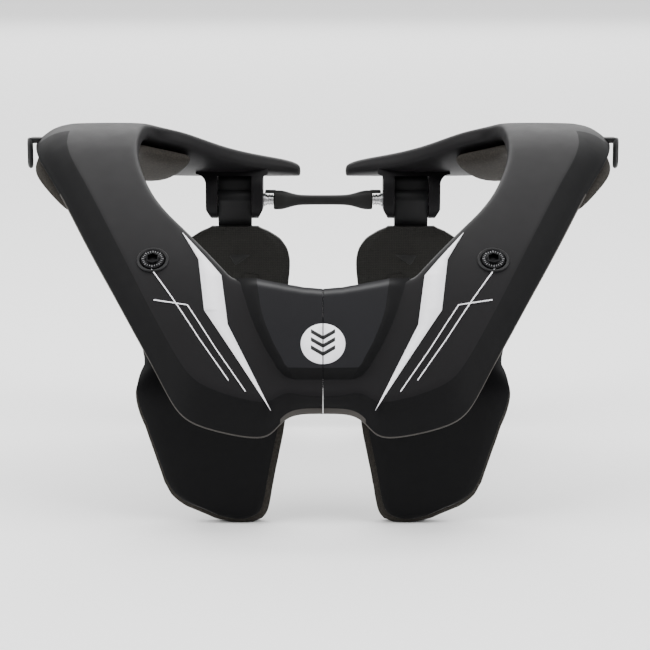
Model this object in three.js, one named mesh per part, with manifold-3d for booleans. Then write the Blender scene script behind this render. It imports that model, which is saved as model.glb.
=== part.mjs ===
// A motocross neck brace: two arched moulded halves round the neck, chest plates, hinged back
// supports, shoulder pads, and the rubber bar that lets the halves spread at the rear.
// Millimetres, X to the right, Y to the back, Z up, floor at Z = 0.

import * as THREE from 'three';
import { mergeVertices } from 'three/addons/utils/BufferGeometryUtils.js';
import Module from 'manifold-3d';

const wasm = await Module();
wasm.setup();

// Driving dimensions of the frame
const ARCH_LENGTH = 335; // along the bend, from the front lobes to the rear edge
const HALF_WIDTH = 158; // centre line to the outer rim
const FRONT_RIM_HEIGHT = 51.4; // floor to the start of the arch at the front lobes
const PLATE_THICKNESS = 11.5;
const BEVEL_WIDTH = 15; // sloped band along the outer edge
const BEVEL_DROP = 9; // how far the outer rim lies below the top face
const INNER_ROLL = 4; // rounding along the upper inner edge
const LOWER_ROLL = 4; // rounding along the lower inner edge
const RIM_ROLL = 3; // rounding along the outer rim
const SEAM_GAP = 0.4; // between the two halves
const SEAT_GAP = 0.3; // between pieces that touch
const CURVED_GAP = 0.7; // between pieces that follow the bend, whose facets differ

// Centre panel
const PANEL_RAISE = 5;
const PANEL_HALF_WIDTH = 44; // at its foot, where it is widest
const PANEL_START = 30; // along the arch
const PANEL_FOOT = 0.13; // share of its length that rises at the lower end
const PANEL_MERGE = 1; // how deep its sides run into the plate

// Bolts on top of the frame
const BOLT_SECTION = 15.7; // which section of the frame it sits on
const BOLT_ACROSS = 0.5; // share of the section's width
const CUP_DIAMETER = 16.6;
const CUP_DEPTH = 3.2;
const CUP_PROUD = 0.5;
const CUP_FLOOR = 1; // thickness under the bolt head
const SMALL_EDGE = 0.6; // softened edges of bolt head and cup
const BOLT_HEAD_DIAMETER = 12.2;
const BOLT_HEAD_HEIGHT = 2.6;
const BOLT_SHANK_DIAMETER = 5;
const SOCKET_WIDTH = 5; // across the flats of the hex
const SOCKET_DEPTH = 1.8;

// Rear brackets, pins and bar
const PIVOT_OUT = 53; // centre of each bracket from the centre line
const PIVOT_DROP = 16.1; // pivot below the arm's underside
const BRACKET_SET_IN = 24; // from the rear edge of the arch to the middle of the bracket
const BRACKET_WIDTH = 34;
const SLOT_WIDTH = 20.6;
const EAR_RADIUS = 11;
const EAR_CHAMFER = 3;
const BRACKET_FLARE = 6;
const PIN_DIAMETER = 6.8;
const PIN_NECK_DIAMETER = 5;
const PIN_COLLAR_DIAMETER = 8.2;
const PIN_COLLAR = 1.2;
const PIN_RECESS = 0.8; // how far its outer end lies inside the bracket
const PIN_SHOW = 5.6; // bare steel between ear and bar
const PIN_GRIP = 9; // how far the neck reaches into the bar
const BAR_END_HEIGHT = 11.5;
const BAR_WAIST_HEIGHT = 6;
const BAR_END_LENGTH = 5;
const BAR_TAPER_LENGTH = 10;
const BAR_LIP = 2; // thickness of the tab over each pin

// Back supports
const TONGUE_RADIUS = 7.4; // round the pin
const TONGUE_CLEAR = 2.5; // between the tongue's top end and the arm
const TONGUE_THICKNESS = 7;
const CARRIER_THICKNESS = 4;
const CARRIER_INSET = 3.5; // how far the carrier stays inside the pad's outline
const CARRIER_SET_BACK = 3; // behind the tongue's front face
const BACK_PAD_HALF_WIDTH = 33;
const BACK_PAD_TOP = 15.5; // below the pivot
const BACK_PAD_THICKNESS = 9;
const BACK_PAD_SWEEP = 5; // how far the lower end curves to the rear

// Chest supports
const CHEST_WIDTH = 94; // centre line to the widest point
const CHEST_SET_BACK = 31; // behind the start of the arch
const CHEST_BEND = 58; // height where the plate starts to lean back
const CHEST_PLATE_THICKNESS = 3.2;
const CHEST_PAD_THICKNESS = 7;
const CHEST_RIM = 2.8; // how far the pad shows below and inside the plate
const CHEST_RIM_OUTER = 1; // and beyond its outer edge
const CHEST_TANG_START = 46; // along the arch, where the plate meets the frame
const CHEST_TANG_MARGIN = 12; // beyond the bolt
const CHEST_PAD_END = 0.15; // share of the tang that the pad still backs

// Shoulder pads
const SHOULDER_PAD_THICKNESS = 11;

// Front clasp
const CLASP_HALF_WIDTH = 21;
const CLASP_THICKNESS = 3;
const CLASP_START = 38;
const CLASP_END = 72;

// Strap loops
const LOOP_WIRE = 2.6;
const LOOP_HEIGHT = 17;
const LOOP_DEPTH = 14;
const LOOP_CORNER = 4.5; // corner radius
const LOOP_TURN = 12; // degrees away from pointing straight back
const LOOP_SECTION = 24.8; // which section of the frame carries it
const LOOP_RISE = 0.4; // middle of the tab above the outer rim
const LOOP_OUT = 3.2; // middle of the ring outside the rim
const LOOP_TAB = 13; // tab length inside the frame's edge
const LOOP_TAB_HEIGHT = 3;
const LOOP_TAB_DEPTH = 9;

// Slope of the arch in degrees, against the share of the arch length
const ARCH_SLOPES = [
  { along: 0.0, slope: 57 },
  { along: 0.165, slope: 53 },
  { along: 0.245, slope: 46.5 },
  { along: 0.32, slope: 37.6 },
  { along: 0.45, slope: 33.6 },
  { along: 0.55, slope: 29 },
  { along: 0.64, slope: 16 },
  { along: 0.715, slope: -1 },
  { along: 0.77, slope: -17 },
  { along: 0.82, slope: -28 },
  { along: 0.86, slope: -28 },
  { along: 0.91, slope: -20 },
  { along: 0.95, slope: -9 },
  { along: 1.0, slope: -7 },
];

// Sections of a frame half laid flat, from the front seam round to the rear tip. "Out" is a share of
// the half width, "along" of the arch length, "bevel" of the bevel width, and "sink" of the thickness.
const FRAME_SECTIONS = [
  { innerOut: 0.0, innerAlong: 0.243, outerOut: 0.0, outerAlong: 0.051, bevel: 0.35, sink: 0 },
  { innerOut: 0.038, innerAlong: 0.245, outerOut: 0.038, outerAlong: 0.051, bevel: 0.35, sink: 0 },
  { innerOut: 0.063, innerAlong: 0.246, outerOut: 0.072, outerAlong: 0.05, bevel: 0.42, sink: 0 },
  { innerOut: 0.089, innerAlong: 0.249, outerOut: 0.106, outerAlong: 0.046, bevel: 0.6, sink: 0 },
  { innerOut: 0.114, innerAlong: 0.251, outerOut: 0.134, outerAlong: 0.034, bevel: 0.8, sink: 0 },
  { innerOut: 0.139, innerAlong: 0.254, outerOut: 0.158, outerAlong: 0.019, bevel: 0.93, sink: 0 },
  { innerOut: 0.168, innerAlong: 0.257, outerOut: 0.189, outerAlong: 0.011, bevel: 1.0, sink: 0 },
  { innerOut: 0.203, innerAlong: 0.261, outerOut: 0.245, outerAlong: 0.013, bevel: 1.07, sink: 0 },
  { innerOut: 0.234, innerAlong: 0.265, outerOut: 0.306, outerAlong: 0.019, bevel: 1.1, sink: 0 },
  { innerOut: 0.262, innerAlong: 0.268, outerOut: 0.368, outerAlong: 0.027, bevel: 1.15, sink: 0 },
  { innerOut: 0.285, innerAlong: 0.273, outerOut: 0.422, outerAlong: 0.038, bevel: 1.18, sink: 0 },
  { innerOut: 0.301, innerAlong: 0.279, outerOut: 0.458, outerAlong: 0.055, bevel: 1.15, sink: 0 },
  { innerOut: 0.317, innerAlong: 0.29, outerOut: 0.485, outerAlong: 0.077, bevel: 1.08, sink: 0 },
  { innerOut: 0.339, innerAlong: 0.304, outerOut: 0.514, outerAlong: 0.104, bevel: 1.0, sink: 0 },
  { innerOut: 0.372, innerAlong: 0.326, outerOut: 0.556, outerAlong: 0.143, bevel: 0.95, sink: 0 },
  { innerOut: 0.418, innerAlong: 0.355, outerOut: 0.608, outerAlong: 0.19, bevel: 0.92, sink: 0 },
  { innerOut: 0.463, innerAlong: 0.384, outerOut: 0.668, outerAlong: 0.248, bevel: 0.9, sink: 0 },
  { innerOut: 0.509, innerAlong: 0.412, outerOut: 0.732, outerAlong: 0.312, bevel: 0.86, sink: 0 },
  { innerOut: 0.554, innerAlong: 0.447, outerOut: 0.798, outerAlong: 0.382, bevel: 0.84, sink: 0 },
  { innerOut: 0.582, innerAlong: 0.477, outerOut: 0.846, outerAlong: 0.436, bevel: 0.84, sink: 0 },
  { innerOut: 0.604, innerAlong: 0.507, outerOut: 0.892, outerAlong: 0.488, bevel: 0.86, sink: 0 },
  { innerOut: 0.623, innerAlong: 0.539, outerOut: 0.938, outerAlong: 0.537, bevel: 0.9, sink: 0 },
  { innerOut: 0.635, innerAlong: 0.572, outerOut: 0.973, outerAlong: 0.576, bevel: 1.0, sink: 0 },
  { innerOut: 0.64, innerAlong: 0.606, outerOut: 0.997, outerAlong: 0.611, bevel: 1.12, sink: 0 },
  { innerOut: 0.639, innerAlong: 0.642, outerOut: 1.012, outerAlong: 0.648, bevel: 1.25, sink: 0 },
  { innerOut: 0.634, innerAlong: 0.68, outerOut: 1.018, outerAlong: 0.689, bevel: 1.32, sink: 0 },
  { innerOut: 0.626, innerAlong: 0.716, outerOut: 1.01, outerAlong: 0.735, bevel: 1.28, sink: 0 },
  { innerOut: 0.61, innerAlong: 0.747, outerOut: 0.976, outerAlong: 0.788, bevel: 1.1, sink: 0 },
  { innerOut: 0.582, innerAlong: 0.771, outerOut: 0.914, outerAlong: 0.845, bevel: 0.9, sink: 0 },
  { innerOut: 0.544, innerAlong: 0.786, outerOut: 0.826, outerAlong: 0.899, bevel: 0.72, sink: 0 },
  { innerOut: 0.503, innerAlong: 0.801, outerOut: 0.728, outerAlong: 0.945, bevel: 0.68, sink: 0 },
  { innerOut: 0.457, innerAlong: 0.822, outerOut: 0.617, outerAlong: 0.976, bevel: 0.66, sink: 0 },
  { innerOut: 0.397, innerAlong: 0.85, outerOut: 0.503, outerAlong: 0.993, bevel: 0.64, sink: 0 },
  { innerOut: 0.336, innerAlong: 0.876, outerOut: 0.399, outerAlong: 1.0, bevel: 0.62, sink: 0 },
  { innerOut: 0.26, innerAlong: 0.903, outerOut: 0.292, outerAlong: 1.0, bevel: 0.58, sink: 0.02 },
  { innerOut: 0.185, innerAlong: 0.926, outerOut: 0.204, outerAlong: 0.999, bevel: 0.5, sink: 0.08 },
  { innerOut: 0.128, innerAlong: 0.939, outerOut: 0.136, outerAlong: 0.996, bevel: 0.4, sink: 0.2 },
  { innerOut: 0.097, innerAlong: 0.948, outerOut: 0.1, outerAlong: 0.99, bevel: 0.3, sink: 0.36 },
  { innerOut: 0.085, innerAlong: 0.955, outerOut: 0.086, outerAlong: 0.984, bevel: 0.22, sink: 0.52 },
];

// How far the outer bevel is puffed up over a straight slope, against the section of the frame
const BEVEL_PUFF = [
  { section: 0, puff: 0 },
  { section: 20, puff: 0.1 },
  { section: 22, puff: 0.3 },
  { section: 24, puff: 0.85 },
  { section: 25, puff: 1 },
  { section: 26, puff: 0.95 },
  { section: 28, puff: 0.4 },
  { section: 31, puff: 0 },
];

// Side of the centre panel against the share of its length: half width of its raised face and of
// its foot, as shares of its greatest
const PANEL_OUTLINE = [
  { up: 0.0, crest: 0.28, foot: 0.38 },
  { up: 0.07, crest: 0.36, foot: 0.47 },
  { up: 0.14, crest: 0.43, foot: 0.54 },
  { up: 0.35, crest: 0.56, foot: 0.69 },
  { up: 0.6, crest: 0.68, foot: 0.83 },
  { up: 0.8, crest: 0.73, foot: 0.92 },
  { up: 1.0, crest: 0.76, foot: 1.0 },
];

// Outline of a chest plate with its pad, against the height over the floor as a share of the bend
// height. Both edges are shares of the chest width.
const CHEST_OUTLINE = [
  { up: 0.0, outer: 0.5, inner: 0.38 },
  { up: 0.025, outer: 0.57, inner: 0.335 },
  { up: 0.08, outer: 0.645, inner: 0.305 },
  { up: 0.15, outer: 0.745, inner: 0.29 },
  { up: 0.24, outer: 0.812, inner: 0.279 },
  { up: 0.36, outer: 0.853, inner: 0.266 },
  { up: 0.62, outer: 0.904, inner: 0.235 },
  { up: 0.85, outer: 0.95, inner: 0.208 },
  { up: 1.0, outer: 0.985, inner: 0.2 },
  { up: 1.15, outer: 1.0, inner: 0.21 },
  { up: 1.28, outer: 0.985, inner: 0.24 },
  { up: 1.42, outer: 0.95, inner: 0.29 },
];

// Half width of a back pad as a share of its widest, against the share of its height from the floor
const BACK_PAD_OUTLINE = [
  { up: 0.0, wide: 0.3 },
  { up: 0.03, wide: 0.46 },
  { up: 0.09, wide: 0.58 },
  { up: 0.2, wide: 0.66 },
  { up: 0.4, wide: 0.79 },
  { up: 0.6, wide: 0.91 },
  { up: 0.74, wide: 0.98 },
  { up: 0.83, wide: 1.0 },
  { up: 0.89, wide: 0.95 },
  { up: 0.94, wide: 0.82 },
  { up: 0.975, wide: 0.62 },
  { up: 1.0, wide: 0.42 },
];

// Depth of a shoulder pad near its inner and its outer edge, as shares of its greatest, and how far it
// reaches across, as a share of the frame's width, against the section of the frame that it lies under
const SHOULDER_SECTIONS = [
  { section: 19, inner: 0.16, outer: 0.22, reach: 0.95 },
  { section: 20, inner: 0.36, outer: 0.55, reach: 1.04 },
  { section: 21, inner: 0.5, outer: 0.68, reach: 1.09 },
  { section: 22, inner: 0.6, outer: 0.68, reach: 1.09 },
  { section: 23, inner: 0.68, outer: 0.62, reach: 1.03 },
  { section: 24, inner: 0.76, outer: 0.58, reach: 0.975 },
  { section: 26, inner: 0.86, outer: 0.5, reach: 0.975 },
  { section: 28, inner: 0.9, outer: 0.4, reach: 1.0 },
  { section: 29, inner: 0.86, outer: 0.37, reach: 1.0 },
  { section: 30, inner: 0.74, outer: 0.36, reach: 1.0 },
  { section: 31, inner: 0.42, outer: 0.36, reach: 1.0 },
];

// Outline of a shoulder pad's section, as shares of the frame's width and of the pad's depth there.
// The points on top lie under the corners of the frame's own underside.
const SHOULDER_SIDE = 0.9; // points further across than this follow the pad's reach
const SHOULDER_RING = [
  { across: 0.95, down: 0 },
  { across: 0.8, down: 0 },
  { across: 0.6, down: 0 },
  { across: 0.4, down: 0 },
  { across: 0.2, down: 0 },
  { across: 0.06, down: 0 },
  { across: 0.03, down: 0.55 },
  { across: 0.15, down: 0.95 },
  { across: 0.4, down: 1 },
  { across: 0.75, down: 1 },
  { across: 0.97, down: 0.85 },
  { across: 1.0, down: 0.4 },
];

// Smooth value of one column of a table between its rows, at a row number with a fraction
function columnAt(rows, column, place) {
  const last = rows.length - 1;
  const row = Math.min(Math.max(Math.floor(place), 0), last - 1);
  const value = (index) => rows[Math.min(Math.max(index, 0), last)][column];
  const [a, b, c, d] = [value(row - 1), value(row), value(row + 1), value(row + 2)];
  const t = place - row;
  const bend = 2 * a - 5 * b + 4 * c - d;
  return b + (t * (c - a + t * (bend + t * (3 * (b - c) + d - a)))) / 2;
}

// Straight-line value of a column against another column that only rises
function lookUp(rows, from, column, at) {
  let row = 0;
  while (row < rows.length - 2 && rows[row + 1][from] < at) row += 1;
  const [low, high] = [rows[row], rows[row + 1]];
  return low[column] + ((high[column] - low[column]) * (at - low[from])) / (high[from] - low[from]);
}

// The arch, walked in small steps
const ARCH_STEP = 0.5;
const ARCH_START = -ARCH_LENGTH * 0.1;
const ARCH_WALK = walkArch();

function slopeAt(along) {
  const share = Math.min(Math.max(along / ARCH_LENGTH, 0), 1);
  return THREE.MathUtils.degToRad(lookUp(ARCH_SLOPES, 'along', 'slope', share));
}

function walkArch() {
  const points = [];
  let [y, z] = [0, 0];
  for (let along = ARCH_START; along < ARCH_LENGTH * 1.1; along += ARCH_STEP) {
    points.push({ y, z });
    const slope = slopeAt(along + ARCH_STEP / 2);
    y += Math.cos(slope) * ARCH_STEP;
    z += Math.sin(slope) * ARCH_STEP;
  }
  const start = points[Math.round(-ARCH_START / ARCH_STEP)];
  return points.map((point) => ({ y: point.y - start.y, z: point.z - start.z + FRONT_RIM_HEIGHT }));
}

// A point of the arch: out from the centre line, along the bend, and above or below the top face
function archPoint(out, along, height) {
  const place = (along - ARCH_START) / ARCH_STEP;
  const index = Math.min(Math.max(Math.floor(place), 0), ARCH_WALK.length - 2);
  const [low, high] = [ARCH_WALK[index], ARCH_WALK[index + 1]];
  const share = place - index;
  const slope = slopeAt(along);
  return new THREE.Vector3(
    -out,
    low.y + (high.y - low.y) * share - Math.sin(slope) * height,
    low.z + (high.z - low.z) * share + Math.cos(slope) * height,
  );
}

// The frame at a section number: its inner and outer edge laid flat, and the sizes there
function frameSection(place) {
  const inner = new THREE.Vector2(
    columnAt(FRAME_SECTIONS, 'innerOut', place) * HALF_WIDTH,
    columnAt(FRAME_SECTIONS, 'innerAlong', place) * ARCH_LENGTH,
  );
  const outer = new THREE.Vector2(
    columnAt(FRAME_SECTIONS, 'outerOut', place) * HALF_WIDTH,
    columnAt(FRAME_SECTIONS, 'outerAlong', place) * ARCH_LENGTH,
  );
  return {
    inner,
    direction: outer.clone().sub(inner).normalize(),
    width: outer.distanceTo(inner),
    bevel: columnAt(FRAME_SECTIONS, 'bevel', place) * BEVEL_WIDTH,
    sink: columnAt(FRAME_SECTIONS, 'sink', place) * PLATE_THICKNESS,
    puff: lookUp(BEVEL_PUFF, 'section', 'puff', place),
  };
}

// A point of a section laid flat, at a share of its width
function flatPoint(section, share) {
  return section.inner.clone().addScaledVector(section.direction, section.width * share);
}

// A point of a section, so far across from the inner edge and so high over the top face
function sectionPoint(section, across, height) {
  const flat = flatPoint(section, across / section.width);
  return archPoint(Math.max(flat.x, SEAM_GAP / 2), flat.y, height);
}

const UNDERSIDE_SHARES = [0.8, 0.6, 0.4, 0.2];

// The closed outline of one section, from the lower inner corner over the top to the underside
function frameRing(section) {
  const { width, bevel, sink, puff } = section;
  const roll = INNER_ROLL;
  const drop = BEVEL_DROP;
  const edge = width - bevel;
  const top = edge - roll;
  const rim = PLATE_THICKNESS - drop;
  const points = [
    [LOWER_ROLL * 0.2, LOWER_ROLL * 0.38 - PLATE_THICKNESS],
    [0, LOWER_ROLL - PLATE_THICKNESS],
    [0, -roll - sink],
    [roll * 0.3, -roll * 0.3 - sink],
    [roll, -sink],
    [roll + top / 3, -sink],
    [roll + (top * 2) / 3, -sink],
    [edge, -sink],
    [edge + bevel * 0.2, -drop * (0.1 - 0.04 * puff) - sink * 0.5],
    [edge + bevel * 0.6, -drop * (0.55 - 0.27 * puff) - sink * 0.2],
    [width - RIM_ROLL * 0.3, -drop + RIM_ROLL * 0.13],
    [width, -drop - rim * 0.3],
    [width - RIM_ROLL * 0.27, -drop - rim * 0.8],
    [width - RIM_ROLL, -PLATE_THICKNESS],
  ];
  UNDERSIDE_SHARES.forEach((share) => points.push([width * share, -PLATE_THICKNESS]));
  return points.map(([across, height]) => sectionPoint(section, across, height));
}

// A closed body through rings of points, its ends filled from a point in their middle
function loftRings(rings) {
  const count = rings[0].length;
  const positions = rings.flat().flatMap((point) => [point.x, point.y, point.z]);
  const indices = [];
  for (let ring = 0; ring < rings.length - 1; ring += 1) {
    for (let step = 0; step < count; step += 1) {
      const a = ring * count + step;
      const b = ring * count + ((step + 1) % count);
      indices.push(a, b, b + count, a, b + count, a + count);
    }
  }
  [rings[0], rings.at(-1)].forEach((ring, end) => {
    const middle = ring.reduce((sum, point) => sum.add(point), new THREE.Vector3());
    const hub = positions.length / 3;
    positions.push(...middle.divideScalar(count));
    const first = end ? (rings.length - 1) * count : 0;
    for (let step = 0; step < count; step += 1) {
      const edge = [first + step, first + ((step + 1) % count)];
      indices.push(hub, ...(end ? edge : edge.reverse()));
    }
  });
  return outward(positions, indices);
}

// A closed sheet between two faces, each a grid of points given by a function of two shares
function closedSheet(columns, rows, place) {
  const positions = [];
  const at = (column, row, face) => (row * (columns + 1) + column) * 2 + face;
  for (let row = 0; row <= rows; row += 1) {
    for (let column = 0; column <= columns; column += 1) {
      [0, 1].forEach((face) => positions.push(...place(column / columns, row / rows, face)));
    }
  }
  const indices = [];
  const quad = (a, b, c, d) => indices.push(a, b, c, a, c, d);
  for (let row = 0; row < rows; row += 1) {
    for (let column = 0; column < columns; column += 1) {
      quad(at(column, row, 0), at(column + 1, row, 0), at(column + 1, row + 1, 0), at(column, row + 1, 0));
      quad(at(column, row, 1), at(column, row + 1, 1), at(column + 1, row + 1, 1), at(column + 1, row, 1));
    }
    quad(at(0, row, 0), at(0, row + 1, 0), at(0, row + 1, 1), at(0, row, 1));
    quad(at(columns, row, 0), at(columns, row, 1), at(columns, row + 1, 1), at(columns, row + 1, 0));
  }
  for (let column = 0; column < columns; column += 1) {
    quad(at(column, 0, 0), at(column, 0, 1), at(column + 1, 0, 1), at(column + 1, 0, 0));
    quad(at(column, rows, 0), at(column + 1, rows, 0), at(column + 1, rows, 1), at(column, rows, 1));
  }
  return outward(positions, indices);
}

// A geometry whose faces point out
function outward(positions, indices) {
  let volume = 0;
  const corner = (index) => new THREE.Vector3().fromArray(positions, index * 3);
  for (let face = 0; face < indices.length; face += 3) {
    const [a, b, c] = [corner(indices[face]), corner(indices[face + 1]), corner(indices[face + 2])];
    volume += a.dot(b.cross(c));
  }
  const geometry = new THREE.BufferGeometry();
  geometry.setAttribute('position', new THREE.Float32BufferAttribute(positions, 3));
  geometry.setIndex(volume < 0 ? indices.slice().reverse() : indices);
  return geometry;
}

// The same body on the other side of the centre line
function mirrored(geometry) {
  const positions = Array.from(geometry.attributes.position.array);
  for (let index = 0; index < positions.length; index += 3) positions[index] *= -1;
  return outward(positions, Array.from(geometry.index.array));
}

function solidOf(geometry) {
  const plain = geometry.clone();
  plain.deleteAttribute('normal');
  plain.deleteAttribute('uv');
  const merged = mergeVertices(plain, 1e-4);
  return new wasm.Manifold(
    new wasm.Mesh({
      numProp: 3,
      vertProperties: new Float32Array(merged.attributes.position.array),
      triVerts: new Uint32Array(merged.index.array),
    }),
  );
}

function geometryOf(solid) {
  const mesh = solid.getMesh();
  return outward(Array.from(mesh.vertProperties), Array.from(mesh.triVerts));
}

// Places a geometry made round its own Z axis: its foot at a point, its Z along a direction
function alongAxis(geometry, foot, direction) {
  const turn = new THREE.Quaternion().setFromUnitVectors(new THREE.Vector3(0, 0, 1), direction);
  return geometry.clone().applyQuaternion(turn).translate(foot.x, foot.y, foot.z);
}

// A round body along Z through pairs of height and radius, closed on its axis
function turned(profile, sides) {
  const points = profile.map(([height, radius]) => new THREE.Vector2(radius, height));
  return new THREE.LatheGeometry(points, sides).rotateX(Math.PI / 2);
}

// A rod along Z
function rod(from, to, diameter, sides) {
  return turned([[from, 0], [from, diameter / 2], [to, diameter / 2], [to, 0]], sides);
}

// Turns a shape drawn in (y, z) and extruded into one whose depth runs along X, centred at an X
function extrudedAlongX(shape, centre, width, curveSegments = 8) {
  const options = { depth: width, bevelEnabled: false, curveSegments };
  const basis = new THREE.Matrix4().makeBasis(
    new THREE.Vector3(0, 1, 0),
    new THREE.Vector3(0, 0, 1),
    new THREE.Vector3(1, 0, 0),
  );
  return new THREE.ExtrudeGeometry(shape, options).applyMatrix4(basis).translate(centre - width / 2, 0, 0);
}

// Turns a shape drawn in (x, z) and extruded into one whose depth runs along Y, centred at a Y
function extrudedAlongY(shape, centre, depth) {
  const options = { depth, bevelEnabled: false, curveSegments: 5 };
  const geometry = new THREE.ExtrudeGeometry(shape, options).rotateX(Math.PI / 2);
  return geometry.translate(0, centre + depth / 2, 0);
}

const smooth = (low, high, at) => THREE.MathUtils.smoothstep(at, low, high);

// Places that several pieces share
const BOLT_FLAT = flatPoint(frameSection(BOLT_SECTION), BOLT_ACROSS);
const BOLT_SEAT = archPoint(BOLT_FLAT.x, BOLT_FLAT.y, 0);
const BOLT_AXIS = archPoint(BOLT_FLAT.x, BOLT_FLAT.y, 1).sub(BOLT_SEAT).normalize();
const BRACKET_ALONG = ARCH_LENGTH - BRACKET_SET_IN;
const ARM_UNDERSIDE = archPoint(PIVOT_OUT, BRACKET_ALONG, -PLATE_THICKNESS).z;
const PIVOT_HEIGHT = ARM_UNDERSIDE - PIVOT_DROP;
const SLOT_TOP = ARM_UNDERSIDE - 1;
const PIVOT = archPoint(PIVOT_OUT, BRACKET_ALONG, 0).setZ(PIVOT_HEIGHT);
const BAR_HALF_LENGTH = PIVOT_OUT - BRACKET_WIDTH / 2 - PIN_SHOW - 2 * SEAT_GAP;
const FLOOR = 0;

// One half of the arched plate
function plateBody() {
  return loftRings(FRAME_SECTIONS.map((row, place) => frameRing(frameSection(place))));
}

// The raised centre panel, laid over the plate from the seam to its slanted side
function centrePanel() {
  const front = FRAME_SECTIONS.slice(0, 14);
  return closedSheet(7, 8, (across, up, face) => {
    const crest = lookUp(PANEL_OUTLINE, 'up', 'crest', up) * PANEL_HALF_WIDTH;
    const foot = lookUp(PANEL_OUTLINE, 'up', 'foot', up) * PANEL_HALF_WIDTH;
    const out = Math.max(across ** 0.7 * foot, SEAM_GAP / 2);
    const edge = lookUp(front, 'innerOut', 'innerAlong', out / HALF_WIDTH) * ARCH_LENGTH;
    const along = THREE.MathUtils.lerp(PANEL_START, edge - SEAM_GAP, up);
    const side = 1 - smooth(crest, foot, out);
    const ends = smooth(0, PANEL_FOOT, up) * (1 - 0.5 * smooth(0.9, 1, up));
    const height = (PANEL_RAISE + PANEL_MERGE) * side * ends - PANEL_MERGE;
    return archPoint(out, along, face ? height : -PLATE_THICKNESS / 2);
  });
}

// The bracket under the rear arm: two ears with a slot for the tongue, flared into the arm
function bracket() {
  const half = BRACKET_WIDTH / 2;
  const top = archPoint(PIVOT_OUT, BRACKET_ALONG, -PLATE_THICKNESS / 2).z;
  const under = ARM_UNDERSIDE;
  const bottom = PIVOT_HEIGHT - EAR_RADIUS;
  const front = new THREE.Shape();
  front.moveTo(half + BRACKET_FLARE, top);
  front.lineTo(half + BRACKET_FLARE, under);
  front.quadraticCurveTo(half, under, half, under - BRACKET_FLARE);
  front.lineTo(half, bottom + EAR_CHAMFER * 2);
  front.lineTo(half - EAR_CHAMFER, bottom);
  front.lineTo(SLOT_WIDTH / 2, bottom);
  front.lineTo(SLOT_WIDTH / 2, SLOT_TOP);
  front.lineTo(-SLOT_WIDTH / 2, SLOT_TOP);
  front.lineTo(-SLOT_WIDTH / 2, bottom);
  front.lineTo(EAR_CHAMFER - half, bottom);
  front.lineTo(-half, bottom + EAR_CHAMFER * 2);
  front.lineTo(-half, under - BRACKET_FLARE);
  front.quadraticCurveTo(-half, under, -half - BRACKET_FLARE, under);
  front.lineTo(-half - BRACKET_FLARE, top);
  const side = new THREE.Shape();
  side.moveTo(EAR_RADIUS, top + 1);
  side.lineTo(-EAR_RADIUS, top + 1);
  side.lineTo(-EAR_RADIUS, PIVOT_HEIGHT);
  side.absarc(0, PIVOT_HEIGHT, EAR_RADIUS, Math.PI, 2 * Math.PI, false);
  const seen = solidOf(extrudedAlongY(front, 0, EAR_RADIUS * 3));
  const flank = solidOf(extrudedAlongX(side, 0, BRACKET_WIDTH * 2));
  return seen.intersect(flank).translate([PIVOT.x, PIVOT.y, 0]);
}

// A bore along X through a bracket
function pivotBore(diameter, length) {
  const bore = rod(-length / 2, length / 2, diameter, 14);
  return solidOf(alongAxis(bore, PIVOT, new THREE.Vector3(1, 0, 0)));
}

// Where the strap loop's tab leaves the outer edge
const LOOP_EDGE = frameSection(LOOP_SECTION);
const LOOP_SEAT = sectionPoint(LOOP_EDGE, LOOP_EDGE.width, LOOP_RISE - BEVEL_DROP);

// A box with its middle at a point
function blockAt(centre, width, depth, height) {
  return new THREE.BoxGeometry(width, depth, height).translate(centre.x, centre.y, centre.z);
}

function frameHalf() {
  const pocket = blockAt(
    LOOP_SEAT.clone().add(new THREE.Vector3(LOOP_TAB / 2 - LOOP_OUT / 2, 0, 0)),
    LOOP_TAB + LOOP_OUT + 2 * SEAT_GAP,
    LOOP_TAB_DEPTH + 2 * SEAT_GAP,
    LOOP_TAB_HEIGHT + 2 * SEAT_GAP,
  );
  const cupHole = rod(-CUP_DEPTH, CUP_DEPTH + PANEL_RAISE, CUP_DIAMETER + 2 * SEAT_GAP, 24);
  const shankHole = rod(-PLATE_THICKNESS * 2, 1, BOLT_SHANK_DIAMETER + 2 * SEAT_GAP, 12);
  const body = solidOf(plateBody())
    .add(solidOf(centrePanel()))
    .add(bracket())
    .subtract(pivotBore(PIN_DIAMETER + 2 * SEAT_GAP, BRACKET_WIDTH * 2))
    .subtract(solidOf(alongAxis(cupHole, BOLT_SEAT, BOLT_AXIS)))
    .subtract(solidOf(alongAxis(shankHole, BOLT_SEAT, BOLT_AXIS)))
    .subtract(solidOf(pocket));
  return geometryOf(body);
}

// The plain plate behind the seam
function frontClasp() {
  return closedSheet(2, 5, (across, up, face) => {
    const out = THREE.MathUtils.lerp(-CLASP_HALF_WIDTH, CLASP_HALF_WIDTH, across);
    const along = THREE.MathUtils.lerp(CLASP_START, CLASP_END, up);
    return archPoint(out, along, -PLATE_THICKNESS - SEAT_GAP - face * CLASP_THICKNESS);
  });
}

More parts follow.
